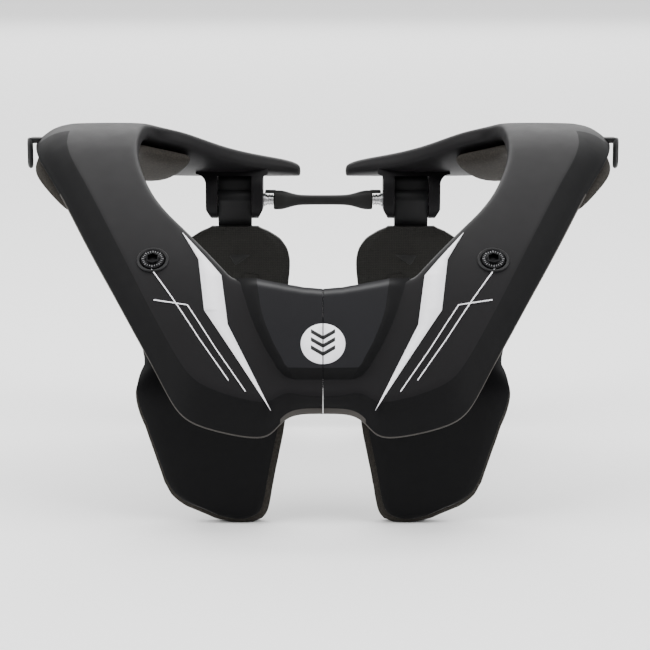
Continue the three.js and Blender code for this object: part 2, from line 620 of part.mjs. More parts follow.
// The rubber bar, thick at its ends and slim between, with a tab over each pin
function flexBar() {
  const stations = [
    [0, BAR_END_HEIGHT * 0.92],
    [1, BAR_END_HEIGHT],
    [BAR_END_LENGTH, BAR_END_HEIGHT],
    [BAR_END_LENGTH + BAR_TAPER_LENGTH * 0.5, (BAR_END_HEIGHT + BAR_WAIST_HEIGHT) / 2],
    [BAR_END_LENGTH + BAR_TAPER_LENGTH, BAR_WAIST_HEIGHT],
  ];
  const profile = [[-BAR_HALF_LENGTH, 0]];
  stations.forEach(([from, height]) => profile.push([from - BAR_HALF_LENGTH, height / 2]));
  stations.slice().reverse().forEach(([from, height]) => profile.push([BAR_HALF_LENGTH - from, height / 2]));
  profile.push([BAR_HALF_LENGTH, 0]);
  const centre = new THREE.Vector3(0, PIVOT.y, PIVOT.z);
  const sideways = new THREE.Vector3(1, 0, 0);
  let bar = solidOf(alongAxis(turned(profile, 14), centre, sideways));
  [-1, 1].forEach((side) => {
    const reach = PIN_SHOW - SEAT_GAP;
    const tabCentre = new THREE.Vector3(
      side * (BAR_HALF_LENGTH + reach / 2 - 1),
      PIVOT.y,
      PIVOT.z + BAR_END_HEIGHT / 2 - BAR_LIP * 0.8,
    );
    const bore = rod(BAR_HALF_LENGTH - PIN_GRIP - SEAT_GAP, BAR_HALF_LENGTH + PIN_SHOW,
      PIN_NECK_DIAMETER + 2 * SEAT_GAP, 12);
    const clear = rod(BAR_HALF_LENGTH, BAR_HALF_LENGTH + PIN_SHOW * 2, PIN_COLLAR_DIAMETER + 2 * SEAT_GAP, 14);
    const way = sideways.clone().multiplyScalar(side);
    bar = bar
      .add(solidOf(blockAt(tabCentre, reach + 2, BAR_END_HEIGHT * 0.6, BAR_LIP)))
      .subtract(solidOf(alongAxis(bore, centre, way)))
      .subtract(solidOf(alongAxis(clear, centre, way)));
  });
  return geometryOf(bar);
}

// A pin: the shaft through both ears, a collar beside the bracket, and a neck in the bar
function pivotPin() {
  const half = BRACKET_WIDTH / 2;
  const start = PIN_RECESS - half;
  const collar = half + SEAT_GAP;
  const grip = collar + PIN_SHOW;
  const profile = [
    [start, 0],
    [start, PIN_DIAMETER / 2],
    [collar, PIN_DIAMETER / 2],
    [collar, PIN_COLLAR_DIAMETER / 2],
    [collar + PIN_COLLAR, PIN_COLLAR_DIAMETER / 2],
    [collar + PIN_COLLAR, PIN_DIAMETER / 2],
    [grip, PIN_DIAMETER / 2],
    [grip, PIN_NECK_DIAMETER / 2],
    [grip + PIN_GRIP, PIN_NECK_DIAMETER / 2],
    [grip + PIN_GRIP, 0],
  ];
  return alongAxis(turned(profile, 14), PIVOT, new THREE.Vector3(1, 0, 0));
}

const BACK_PAD_HEIGHT = PIVOT_HEIGHT - BACK_PAD_TOP;

// A back pad or its carrier: a leaf that stands behind the pivot line and curves a little rearward
function backLeaf(front, thickness, inset) {
  return closedSheet(6, 12, (across, up, face) => {
    const share = up ** 0.9;
    const height = THREE.MathUtils.lerp(FLOOR + inset, BACK_PAD_HEIGHT - inset, share);
    const wide = lookUp(BACK_PAD_OUTLINE, 'up', 'wide', height / BACK_PAD_HEIGHT);
    const side = Math.sin((across - 0.5) * Math.PI);
    const half = BACK_PAD_HALF_WIDTH * wide - inset;
    const sweep = BACK_PAD_SWEEP * (1 - share) ** 2;
    const edge = Math.min(1 - Math.abs(side), Math.min(share, 1 - share) * 4);
    const round = face ? 0 : thickness * 0.3 * (1 - smooth(0, 0.25, edge));
    return new THREE.Vector3(
      PIVOT.x + side * half,
      front + sweep + round + face * (thickness - round),
      height,
    );
  });
}

function backPad() {
  const rear = PIVOT.y - TONGUE_THICKNESS / 2 + CARRIER_SET_BACK - SEAT_GAP;
  return backLeaf(rear - BACK_PAD_THICKNESS, BACK_PAD_THICKNESS, 0);
}

// The hinged carrier behind a back pad, with the tongue that turns on the pin
function backSupport() {
  const half = TONGUE_THICKNESS / 2;
  const front = CARRIER_SET_BACK - half;
  const leaf = solidOf(backLeaf(PIVOT.y + front, CARRIER_THICKNESS, CARRIER_INSET));
  const side = new THREE.Shape();
  const low = BACK_PAD_HEIGHT - BACK_PAD_TOP;
  const entry = Math.asin(half / TONGUE_RADIUS);
  const tip = ARM_UNDERSIDE - TONGUE_CLEAR - half;
  side.absarc(0, PIVOT_HEIGHT, TONGUE_RADIUS, 0, Math.PI / 2 - entry, false);
  side.absarc(0, tip, half, 0, Math.PI, false);
  side.absarc(0, PIVOT_HEIGHT, TONGUE_RADIUS, Math.PI / 2 + entry, Math.PI, false);
  side.lineTo(front, BACK_PAD_HEIGHT);
  side.lineTo(front, low);
  side.lineTo(front + TONGUE_THICKNESS, low);
  side.lineTo(front + TONGUE_THICKNESS, BACK_PAD_HEIGHT);
  const tongue = extrudedAlongX(side, 0, SLOT_WIDTH - 2 * SEAT_GAP).translate(PIVOT.x, PIVOT.y, 0);
  const body = solidOf(tongue).add(leaf);
  return geometryOf(body.subtract(pivotBore(PIN_DIAMETER + 2 * SEAT_GAP, BRACKET_WIDTH)));
}

// The way up a chest support: straight up from the floor, a soft bend, then along under the frame
function chestPath() {
  const under = (along) => archPoint(0, along, -PLATE_THICKNESS - CURVED_GAP);
  const meet = under(CHEST_TANG_START);
  const next = under(CHEST_TANG_START + 1);
  const slope = (next.z - meet.z) / (next.y - meet.y);
  const foot = archPoint(0, 0, 0).y + CHEST_SET_BACK;
  const corner = meet.z - (meet.y - foot) * slope;
  const bend = new THREE.QuadraticBezierCurve(
    new THREE.Vector2(foot, CHEST_BEND),
    new THREE.Vector2(foot, corner),
    new THREE.Vector2(meet.y, meet.z),
  );
  return { foot, bend, under };
}

// A point on the front face of a chest support, and the way its thickness goes, at a share of the
// way: up to 1 straight, up to 2 round the bend, up to 3 along the frame
function chestFace(place) {
  const { foot, bend, under } = chestPath();
  if (place <= 1) return { y: foot, z: FLOOR + CHEST_BEND * place, back: new THREE.Vector2(1, 0) };
  if (place <= 2) {
    const point = bend.getPoint(place - 1);
    const way = bend.getTangent(place - 1);
    return { y: point.x, z: point.y, back: new THREE.Vector2(way.y, -way.x) };
  }
  const along = THREE.MathUtils.lerp(CHEST_TANG_START, BOLT_FLAT.y + CHEST_TANG_MARGIN, place - 2);
  const point = under(along);
  const slope = slopeAt(along);
  return { y: point.y, z: point.z, back: new THREE.Vector2(Math.sin(slope), -Math.cos(slope)) };
}

// Outer and inner edge of a chest support at the same share of the way, drawn in by a rim
function chestEdges(place, rim, outerRim) {
  const height = chestFace(Math.min(place, 2)).z - FLOOR;
  const share = Math.max(height - rim, 0) / CHEST_BEND;
  const outer = lookUp(CHEST_OUTLINE, 'up', 'outer', share) * CHEST_WIDTH - outerRim;
  const inner = lookUp(CHEST_OUTLINE, 'up', 'inner', share) * CHEST_WIDTH + rim;
  return {
    outer: THREE.MathUtils.lerp(outer, BOLT_FLAT.x + CUP_DIAMETER * 0.6, smooth(2, 2.5, place)),
    inner: THREE.MathUtils.lerp(inner, BOLT_FLAT.x - CUP_DIAMETER * 0.8, smooth(2, 2.6, place)),
  };
}

// A chest support's layer: its place along the way and both edges at each row, and its depth
function chestLayer(rows, placeAt, edgesAt, startDepth, thickness) {
  return closedSheet(4, rows, (across, up, face) => {
    const place = placeAt(up);
    const point = chestFace(place);
    const { outer, inner } = edgesAt(place);
    const depth = startDepth + face * thickness;
    return new THREE.Vector3(
      -THREE.MathUtils.lerp(inner, outer, across),
      point.y + point.back.x * depth,
      point.z + point.back.y * depth,
    );
  });
}

// The hard chest plate, from just above the floor up to the bolt
function chestPlate() {
  const start = CHEST_RIM / CHEST_BEND;
  const placeAt = (up) => (up < 0.5 ? start + up * 2 * (1 - start) : 1 + (up - 0.5) * 4);
  const edgesAt = (place) => chestEdges(place, CHEST_RIM, CHEST_RIM_OUTER);
  const plate = chestLayer(24, placeAt, edgesAt, 0, CHEST_PLATE_THICKNESS);
  const bore = rod(-PLATE_THICKNESS * 2, 1, BOLT_SHANK_DIAMETER + 2 * SEAT_GAP, 12);
  return geometryOf(solidOf(plate).subtract(solidOf(alongAxis(bore, BOLT_SEAT, BOLT_AXIS))));
}

// The foam pad behind the chest plate, a little larger at its edges
function chestPad() {
  const placeAt = (up) => (up < 0.6 ? up / 0.6 : 1 + ((up - 0.6) / 0.4) * (1 + CHEST_PAD_END));
  const edgesAt = (place) => chestEdges(place, 0, 0);
  return chestLayer(15, placeAt, edgesAt, CHEST_PLATE_THICKNESS + SEAT_GAP, CHEST_PAD_THICKNESS);
}

// The foam pad under the shoulder arch, which follows the plate round the bend
function shoulderPad() {
  const top = -PLATE_THICKNESS - CURVED_GAP;
  const rings = [];
  for (let place = SHOULDER_SECTIONS[0].section; place <= SHOULDER_SECTIONS.at(-1).section; place += 1) {
    const section = frameSection(place);
    const [inner, outer, reach] = ['inner', 'outer', 'reach'].map(
      (column) => lookUp(SHOULDER_SECTIONS, 'section', column, place),
    );
    rings.push(SHOULDER_RING.map(({ across, down }) => {
      const depth = THREE.MathUtils.lerp(inner, outer, across) * SHOULDER_PAD_THICKNESS;
      const share = across > SHOULDER_SIDE ? across * reach : across;
      return sectionPoint(section, section.width * share, top - depth * down);
    }));
  }
  return loftRings(rings);
}

// The bolt: a round head with a hex socket, and its shank through frame and chest plate
function mountBolt() {
  const length = PLATE_THICKNESS + SEAT_GAP + CHEST_PLATE_THICKNESS;
  const seat = CUP_PROUD - CUP_DEPTH + CUP_FLOOR;
  const head = seat + SEAT_GAP + BOLT_HEAD_HEIGHT;
  const profile = [
    [-length, 0],
    [-length, BOLT_SHANK_DIAMETER / 2],
    [seat + SEAT_GAP, BOLT_SHANK_DIAMETER / 2],
    [seat + SEAT_GAP, BOLT_HEAD_DIAMETER / 2],
    [head - SMALL_EDGE, BOLT_HEAD_DIAMETER / 2],
    [head, BOLT_HEAD_DIAMETER / 2 - SMALL_EDGE],
    [head, 0],
  ];
  const across = SOCKET_WIDTH / Math.cos(Math.PI / 6);
  const socket = rod(head - SOCKET_DEPTH, head + 1, across, 6);
  const bolt = solidOf(turned(profile, 18)).subtract(solidOf(socket));
  return alongAxis(geometryOf(bolt), BOLT_SEAT, BOLT_AXIS);
}

// The ring cup that the bolt sits in
function boltCup() {
  const floor = SEAT_GAP - CUP_DEPTH;
  const inner = BOLT_HEAD_DIAMETER / 2 + SEAT_GAP;
  const hole = BOLT_SHANK_DIAMETER / 2 + SEAT_GAP;
  const outer = CUP_DIAMETER / 2;
  const seat = CUP_PROUD - CUP_DEPTH + CUP_FLOOR;
  const profile = [
    [floor, hole],
    [floor, outer],
    [CUP_PROUD - SMALL_EDGE, outer],
    [CUP_PROUD, outer - SMALL_EDGE],
    [CUP_PROUD, inner + SMALL_EDGE],
    [CUP_PROUD - SMALL_EDGE, inner],
    [seat, inner],
    [seat, hole],
    [floor, hole],
  ];
  return alongAxis(turned(profile, 20), BOLT_SEAT, BOLT_AXIS);
}

// A strap loop: a rounded ring of wire hanging from a flat tab in the frame's outer edge
function strapLoop() {
  const outline = (width, height, radius) => {
    const [x, y] = [width / 2 - radius, height / 2 - radius];
    const shape = new THREE.Shape();
    shape.moveTo(x + radius, y);
    shape.absarc(x, y, radius, 0, Math.PI / 2, false);
    shape.absarc(-x, y, radius, Math.PI / 2, Math.PI, false);
    shape.absarc(-x, -y, radius, Math.PI, Math.PI * 1.5, false);
    shape.absarc(x, -y, radius, Math.PI * 1.5, Math.PI * 2, false);
    return shape;
  };
  const turn = THREE.MathUtils.degToRad(LOOP_TURN);
  const cornered = (inset, width) => {
    const shape = outline(LOOP_DEPTH - 2 * inset, LOOP_HEIGHT - 2 * inset, LOOP_CORNER - inset / 2);
    return solidOf(extrudedAlongX(shape, 0, width, 4).rotateZ(turn));
  };
  const drop = (LOOP_HEIGHT - LOOP_WIRE) / 2;
  const ring = cornered(0, LOOP_WIRE)
    .subtract(cornered(LOOP_WIRE, LOOP_WIRE * 3))
    .translate([LOOP_SEAT.x - LOOP_OUT, LOOP_SEAT.y, LOOP_SEAT.z - drop]);
  const tabMiddle = LOOP_SEAT.clone().add(new THREE.Vector3((LOOP_TAB - LOOP_OUT) / 2, 0, 0));
  const tab = blockAt(tabMiddle, LOOP_TAB + LOOP_OUT, LOOP_TAB_DEPTH, LOOP_TAB_HEIGHT);
  return geometryOf(ring.add(solidOf(tab)));
}

// Finishes
function finish(color, roughness, metalness) {
  return new THREE.MeshStandardMaterial({ color, roughness, metalness });
}

const MOULDED_SHELL = finish(0x343336, 0.55, 0);
const SATIN_PLATE = finish(0x121213, 0.4, 0);
const DARK_FOAM = finish(0x1b1a19, 0.9, 0);
const PAD_RUBBER = finish(0x2a2a27, 0.8, 0);
const BAR_RUBBER = finish(0x151515, 0.75, 0);
const BLACK_STEEL = finish(0x161617, 0.35, 0.9);
const BRIGHT_STEEL = finish(0xc8c8ca, 0.2, 1);
const BLACK_PLASTIC = finish(0x131314, 0.5, 0);

const brace = new THREE.Group();

function addPiece(name, geometry, material) {
  const mesh = new THREE.Mesh(geometry, material);
  mesh.name = name;
  brace.add(mesh);
}

// A piece made for the left side, and its mirror image
function addPair(name, geometry, material) {
  addPiece(`${name}_left`, geometry, material);
  addPiece(`${name}_right`, mirrored(indexed(geometry)), material);
}

function indexed(geometry) {
  const plain = geometry.clone();
  plain.deleteAttribute('normal');
  plain.deleteAttribute('uv');
  return mergeVertices(plain, 1e-4);
}

addPair('frame', frameHalf(), MOULDED_SHELL);
addPair('back_support', backSupport(), BLACK_PLASTIC);
addPair('back_pad', backPad(), PAD_RUBBER);
addPair('chest_plate', chestPlate(), SATIN_PLATE);
addPair('chest_pad', chestPad(), DARK_FOAM);
addPair('shoulder_pad', shoulderPad(), DARK_FOAM);
addPair('pivot_pin', pivotPin(), BRIGHT_STEEL);
addPair('mount_bolt', mountBolt(), BLACK_STEEL);
addPair('bolt_cup', boltCup(), BLACK_PLASTIC);
addPair('strap_loop', strapLoop(), BLACK_PLASTIC);
addPiece('front_clasp', frontClasp(), BLACK_PLASTIC);
addPiece('flex_bar', flexBar(), BAR_RUBBER);

// The origin lies on the floor, in the middle of the outer box
const bounds = new THREE.Box3().setFromObject(brace);
const middle = bounds.getCenter(new THREE.Vector3());
brace.position.set(-middle.x, -middle.y, -bounds.min.z);
brace.updateMatrixWorld(true);

export default brace;
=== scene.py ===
# How a motocross neck brace looks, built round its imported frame.
# Shapes are drawn in millimetres and turned into metres when a piece is finished.
# X runs to the right, Y to the back and Z up, and the floor is Z = 0.
import math
from functools import partial

import bmesh
import bpy
from mathutils import Matrix, Vector


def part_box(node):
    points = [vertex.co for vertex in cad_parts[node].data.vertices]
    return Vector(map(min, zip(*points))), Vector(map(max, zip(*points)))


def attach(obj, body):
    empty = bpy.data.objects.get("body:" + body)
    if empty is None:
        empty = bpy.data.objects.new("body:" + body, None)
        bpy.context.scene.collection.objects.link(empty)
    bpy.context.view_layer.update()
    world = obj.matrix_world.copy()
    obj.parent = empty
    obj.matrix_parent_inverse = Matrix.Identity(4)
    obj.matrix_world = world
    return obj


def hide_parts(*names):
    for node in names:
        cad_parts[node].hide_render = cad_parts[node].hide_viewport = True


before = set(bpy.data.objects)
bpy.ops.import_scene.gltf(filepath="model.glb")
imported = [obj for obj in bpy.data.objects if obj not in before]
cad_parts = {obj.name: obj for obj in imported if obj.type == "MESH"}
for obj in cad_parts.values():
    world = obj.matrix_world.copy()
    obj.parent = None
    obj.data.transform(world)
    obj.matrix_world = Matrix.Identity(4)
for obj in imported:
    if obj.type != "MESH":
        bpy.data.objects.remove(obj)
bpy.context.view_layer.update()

MM = 0.001

# The arch and its moulded halves, drawn flat and then bent over the shoulders

ARCH_LENGTH = 335
HALF_WIDTH = 158
FRONT_RIM_HEIGHT = 51.4
PLATE_THICKNESS = 11.5
BEVEL_WIDTH = 15
BEVEL_DROP = 9
INNER_ROLL = 4
RIM_ROLL = 3
SEAM_NEAR = 0.4  # points this near the centre line lie along the seam
SEAM_CLOSED = 0.004  # each side of the seam, where the edges press together
SEAM_OPEN = 0.12  # and along its lower end, where light shows through
SEAM_OPEN_BELOW = 24  # along the arch

# Slope of the arch in degrees against the share of its length
ARCH_SLOPES = [
    (0.0, 57), (0.165, 53), (0.245, 46.5), (0.32, 37.6), (0.45, 33.6), (0.55, 29), (0.64, 16),
    (0.715, -1), (0.77, -17), (0.82, -28), (0.86, -28), (0.91, -20), (0.95, -9), (1.0, -7),
]

# A half laid flat, from the seam round to the rear tip: inner edge out and along, outer edge out and
# along, bevel and sink, as shares of the half width, the arch length, the bevel and the thickness
SECTIONS = [
    (0.0, 0.243, 0.0, 0.051, 0.35, 0), (0.038, 0.245, 0.038, 0.051, 0.35, 0),
    (0.063, 0.246, 0.072, 0.05, 0.42, 0), (0.089, 0.249, 0.106, 0.046, 0.6, 0),
    (0.114, 0.251, 0.134, 0.034, 0.8, 0), (0.139, 0.254, 0.158, 0.019, 0.93, 0),
    (0.168, 0.257, 0.189, 0.011, 1.0, 0), (0.203, 0.261, 0.245, 0.013, 1.07, 0),
    (0.234, 0.265, 0.306, 0.019, 1.1, 0), (0.262, 0.268, 0.368, 0.027, 1.15, 0),
    (0.285, 0.273, 0.422, 0.038, 1.18, 0), (0.301, 0.279, 0.458, 0.055, 1.15, 0),
    (0.317, 0.29, 0.485, 0.077, 1.08, 0), (0.339, 0.304, 0.514, 0.104, 1.0, 0),
    (0.372, 0.326, 0.556, 0.143, 0.95, 0), (0.418, 0.355, 0.608, 0.19, 0.92, 0),
    (0.463, 0.384, 0.668, 0.248, 0.9, 0), (0.509, 0.412, 0.732, 0.312, 0.86, 0),
    (0.554, 0.447, 0.798, 0.382, 0.84, 0), (0.582, 0.477, 0.846, 0.436, 0.84, 0),
    (0.604, 0.507, 0.892, 0.488, 0.86, 0), (0.623, 0.539, 0.938, 0.537, 0.9, 0),
    (0.635, 0.572, 0.973, 0.576, 1.0, 0), (0.64, 0.606, 0.997, 0.611, 1.12, 0),
    (0.639, 0.642, 1.012, 0.648, 1.25, 0), (0.634, 0.68, 1.018, 0.689, 1.32, 0),
    (0.626, 0.716, 1.01, 0.735, 1.28, 0), (0.61, 0.747, 0.976, 0.788, 1.1, 0),
    (0.582, 0.771, 0.914, 0.845, 0.9, 0), (0.544, 0.786, 0.826, 0.899, 0.72, 0),
    (0.503, 0.801, 0.728, 0.945, 0.68, 0), (0.457, 0.822, 0.617, 0.976, 0.66, 0),
    (0.397, 0.85, 0.503, 0.993, 0.64, 0), (0.336, 0.876, 0.399, 1.0, 0.62, 0),
    (0.26, 0.903, 0.292, 1.0, 0.58, 0.02), (0.185, 0.926, 0.204, 0.999, 0.5, 0.08),
    (0.128, 0.939, 0.136, 0.996, 0.4, 0.2), (0.097, 0.948, 0.1, 0.99, 0.3, 0.36),
    (0.085, 0.955, 0.086, 0.984, 0.22, 0.52),
]

# How far the outer bevel is puffed up, against the section number
BEVEL_PUFF = [(0, 0), (20, 0.1), (22, 0.3), (24, 0.85), (25, 1), (26, 0.95), (28, 0.4), (31, 0)]


def straight(rows, at, column=1):
    """Straight-line value of a column of a table against its first column."""
    for low, high in zip(rows, rows[1:]):
        if at <= high[0] or high is rows[-1]:
            return low[column] + (high[column] - low[column]) * (at - low[0]) / (high[0] - low[0])


def smooth_column(rows, column, place):
    """Smooth value of a column at a row number with a fraction."""
    last = len(rows) - 1
    row = min(max(int(math.floor(place)), 0), last - 1)
    a, b, c, d = (rows[min(max(row + k, 0), last)][column] for k in (-1, 0, 1, 2))
    t = place - row
    return b + (t * (c - a + t * (2 * a - 5 * b + 4 * c - d + t * (3 * (b - c) + d - a)))) / 2


def smooth_lookup(rows, at, column=1):
    """Smooth value of a column of a table against its first, held beyond its ends."""
    at = min(max(at, rows[0][0]), rows[-1][0])
    for k in range(len(rows) - 1):
        if at <= rows[k + 1][0]:
            return smooth_column(rows, column, k + (at - rows[k][0]) / (rows[k + 1][0] - rows[k][0]))


def smoothstep(low, high, at):
    t = min(max((at - low) / (high - low), 0), 1)
    return t * t * (3 - 2 * t)


def lerp(a, b, t):
    return a + (b - a) * t


ARCH_STEP = 0.5
ARCH_LEAD = ARCH_LENGTH * 0.1  # walked before the front rim
ARCH_REACH = ARCH_LENGTH * 1.1  # and past it
ARCH_BACK = 0.0  # moved later, when the front rim is set on the CAD frame's


def slope_at(along):
    return math.radians(straight(ARCH_SLOPES, min(max(along / ARCH_LENGTH, 0), 1)))


def walk_arch():
    """Places along the side view of the arch, (back, up), one step apart."""
    points, y, z = [], 0.0, 0.0
    steps = int((ARCH_REACH + ARCH_LEAD) / ARCH_STEP)
    for step in range(steps):
        points.append((y, z))
        slope = slope_at(-ARCH_LEAD + (step + 0.5) * ARCH_STEP)
        y += math.cos(slope) * ARCH_STEP
        z += math.sin(slope) * ARCH_STEP
    start = points[int(round(ARCH_LEAD / ARCH_STEP))]
    return [(y - start[0], z - start[1] + FRONT_RIM_HEIGHT) for y, z in points]


ARCH_WALK = walk_arch()


def arch_point(out, along, height):
    """A point over the arch: out from the centre line, along the bend, above or below the top face."""
    place = (along + ARCH_LEAD) / ARCH_STEP
    index = min(max(int(math.floor(place)), 0), len(ARCH_WALK) - 2)
    (y0, z0), (y1, z1) = ARCH_WALK[index], ARCH_WALK[index + 1]
    share = place - index
    slope = slope_at(along)
    return Vector((-out, lerp(y0, y1, share) - math.sin(slope) * height + ARCH_BACK,
                   lerp(z0, z1, share) + math.cos(slope) * height))


def section(place):
    """The measures of a half at a section number with a fraction."""
    values = [smooth_column(SECTIONS, column, place) for column in range(len(SECTIONS[0]))]
    inner = Vector((values[0] * HALF_WIDTH, values[1] * ARCH_LENGTH))
    outer = Vector((values[2] * HALF_WIDTH, values[3] * ARCH_LENGTH))
    return {"inner": inner, "way": (outer - inner).normalized(), "width": (outer - inner).length,
            "bevel": values[4] * BEVEL_WIDTH, "sink": values[5] * PLATE_THICKNESS,
            "puff": straight(BEVEL_PUFF, place)}


def section_point(sec, across, height):
    """A point of a section, across from its inner edge, kept off the seam."""
    flat = sec["inner"] + sec["way"] * across
    gap = SEAM_OPEN if flat.y < SEAM_OPEN_BELOW else SEAM_CLOSED
    return arch_point(max(flat.x, gap), flat.y, height)


def shell_ring(sec):
    """Outline of one section of the moulded half, from its lower inner corner over the top."""
    width, bevel, sink, puff = sec["width"], sec["bevel"], sec["sink"], sec["puff"]
    thick, roll, drop = PLATE_THICKNESS, INNER_ROLL, BEVEL_DROP
    edge = width - bevel
    top = edge - roll
    rim = thick - drop
    points = [
        (0.8, 1.5 - thick), (0, 4 - thick), (-0.1, -roll - sink), (roll * 0.25, -roll * 0.3 - sink),
        (roll * 0.9, -0.15 - sink), (roll + top * 0.35, 0.15 - sink), (roll + top * 0.72, 0.1 - sink),
        (edge, -0.05 - sink), (edge + bevel * 0.16, -drop * (0.14 - 0.08 * puff) - sink * 0.5),
        (edge + bevel * 0.52, -drop * (0.48 - 0.27 * puff) - sink * 0.3),
        (width - RIM_ROLL * 0.8, -drop * (0.9 - 0.1 * puff)),
        (width - RIM_ROLL * 0.1, -drop - rim * 0.1), (width, -drop - rim * 0.62),
        (width - RIM_ROLL * 0.4, -thick + 0.1), (width - RIM_ROLL * 1.4, -thick),
        (width * 0.75, -thick), (width * 0.5, -thick), (width * 0.25, -thick),
    ]
    return [section_point(sec, across, height) for across, height in points]


# Building pieces

def loft(rings, joined=False):
    """A skin through rings of points, extruded from one to the next. Its ends are joined or closed."""
    bm = bmesh.new()
    loop = [bm.verts.new(point) for point in rings[0]]
    count = len(loop)
    edges = [bm.edges.new((loop[k], loop[(k + 1) % count])) for k in range(count)]
    first = list(edges)
    for ring in rings[1:]:
        made = bmesh.ops.extrude_edge_only(bm, edges=edges)["geom"]
        fresh = {item for item in made if isinstance(item, bmesh.types.BMVert)}
        loop = [next(e.other_vert(v) for e in v.link_edges if e.other_vert(v) in fresh) for v in loop]
        for vert, point in zip(loop, ring):
            vert.co = point
        edges = [item for item in made
                 if isinstance(item, bmesh.types.BMEdge) and set(item.verts) <= fresh]
    if joined:
        bmesh.ops.bridge_loops(bm, edges=edges + first)
    else:
        for end in (first, edges):
            bmesh.ops.contextual_create(bm, geom=end)
    bmesh.ops.recalc_face_normals(bm, faces=bm.faces)
    return bm


def sheet(columns, rows, place, paint=None):
    """A grid with a front and a back, whose points go where a function of two shares puts them.

    Another function of the two shares may name the material of each face.
    """
    bm = bmesh.new()
    bmesh.ops.create_grid(bm, x_segments=columns, y_segments=rows, size=0.5)
    spots = {v: (v.co.x + 0.5, v.co.y + 0.5) for v in bm.verts}
    front = list(bm.faces)
    lower = bmesh.ops.extrude_face_region(bm, geom=front, use_keep_orig=True)["geom"]
    back = [item for item in lower if isinstance(item, bmesh.types.BMVert)]
    for vert in back:
        spots[vert] = (vert.co.x + 0.5, vert.co.y + 0.5)
    behind = set(back)
    for vert, (across, up) in spots.items():
        vert.co = place(across, up, 1 if vert in behind else 0)
    if paint:
        for face in bm.faces:
            corners = [spots[vert] for vert in face.verts]
            face.material_index = paint(*(sum(values) / len(corners) for values in zip(*corners)))
    bmesh.ops.recalc_face_normals(bm, faces=bm.faces)
    return bm


def turned(profile, steps=48):
    """A round body spun about Z from (height, radius) pairs."""
    bm = bmesh.new()
    verts = [bm.verts.new((radius, 0, height)) for height, radius in profile]
    edges = [bm.edges.new(pair) for pair in zip(verts, verts[1:])]
    bmesh.ops.spin(bm, geom=verts + edges, axis=(0, 0, 1), cent=(0, 0, 0), angle=math.tau, steps=steps,
                   use_merge=True)
    bmesh.ops.remove_doubles(bm, verts=bm.verts, dist=1e-4)
    bmesh.ops.recalc_face_normals(bm, faces=bm.faces)
    return bm


def prism(outline, low, high, along):
    """An outline of pairs, extruded along X or Y from low to high."""
    def at(pair, depth):
        return (depth, *pair) if along == "X" else (pair[0], depth, pair[1])
    bm = bmesh.new()
    face = bm.faces.new([bm.verts.new(at(pair, low)) for pair in outline])
    made = bmesh.ops.extrude_face_region(bm, geom=[face])["geom"]
    shift = Vector(at((0, 0), high)) - Vector(at((0, 0), low))
    moved = [item for item in made if isinstance(item, bmesh.types.BMVert)]
    bmesh.ops.translate(bm, verts=moved, vec=shift)
    bmesh.ops.recalc_face_normals(bm, faces=bm.faces)
    return bm


def plug(radius, depth, segments):
    """A round or many-sided body, its middle at the origin and its length along Z."""
    bm = bmesh.new()
    bmesh.ops.create_cone(bm, cap_ends=True, segments=segments, radius1=radius, radius2=radius, depth=depth)
    return bm


def block(low, high):
    bm = bmesh.new()
    bmesh.ops.create_cube(bm, size=1)
    size = Vector(high) - Vector(low)
    bmesh.ops.scale(bm, vec=size, verts=bm.verts)
    bmesh.ops.translate(bm, vec=(Vector(high) + Vector(low)) / 2, verts=bm.verts)
    return bm


SHARP_EDGE = math.radians(30)


def soften(bm, width, segments=3):
    """Rounds the sharp edges."""
    sharp = [e for e in bm.edges if len(e.link_faces) == 2 and e.calc_face_angle(0) > SHARP_EDGE]
    bmesh.ops.bevel(bm, geom=sharp, offset=width, offset_type="OFFSET", segments=segments, profile=0.5,
                    affect="EDGES", material=-1, clamp_overlap=True)
    return bm


def placed(bm, matrix):
    bmesh.ops.transform(bm, matrix=matrix, verts=bm.verts)
    return bm


def merged(*parts):
    """Several bmeshes in one."""
    whole = bmesh.new()
    for part in parts:
        mesh = bpy.data.meshes.new("part")
        part.to_mesh(mesh)
        whole.from_mesh(mesh)
        part.free()
        bpy.data.meshes.remove(mesh)
    return whole


def mirrored(bm):
    bmesh.ops.scale(bm, vec=(-1, 1, 1), verts=bm.verts)
    bmesh.ops.reverse_faces(bm, faces=bm.faces)
    return bm


def sides():
    """Each side's name, and what makes that side's shape from the left one."""
    yield "left", lambda bm: bm
    yield "right", mirrored


def raw_object(name, bm):
    """An object at the origin from a bmesh in millimetres."""
    bmesh.ops.scale(bm, vec=(MM, MM, MM), verts=bm.verts)
    mesh = bpy.data.meshes.new(name)
    bm.to_mesh(mesh)
    bm.free()
    thing = bpy.data.objects.new(name, mesh)
    bpy.context.scene.collection.objects.link(thing)
    return thing


def modified(thing, kind, **settings):
    modifier = thing.modifiers.new(kind.title(), kind)
    for key, value in settings.items():
        setattr(modifier, key, value)


def settled(thing):
    """Turns a piece's modifiers into its mesh."""
    graph = bpy.context.evaluated_depsgraph_get()
    mesh = bpy.data.meshes.new_from_object(thing.evaluated_get(graph))
    thing.modifiers.clear()
    old = thing.data
    thing.data = mesh
    bpy.data.meshes.remove(old)
    return thing


def subdivided(thing, levels):
    modified(thing, "SUBSURF", levels=levels, render_levels=levels)
    return settled(thing)


def bevelled(thing, width, segments, angle):
    """Rounds the edges that turn by more than an angle in degrees."""
    modified(thing, "BEVEL", width=width * MM, segments=segments, limit_method="ANGLE",
             angle_limit=math.radians(angle))
    return settled(thing)


def cut(thing, tool_bm, operation="DIFFERENCE"):
    """Cuts another bmesh out of a piece, or joins or intersects them."""
    tool = raw_object("tool", tool_bm)
    modified(thing, "BOOLEAN", object=tool, operation=operation, solver="EXACT")
    settled(thing)
    bpy.data.objects.remove(tool)


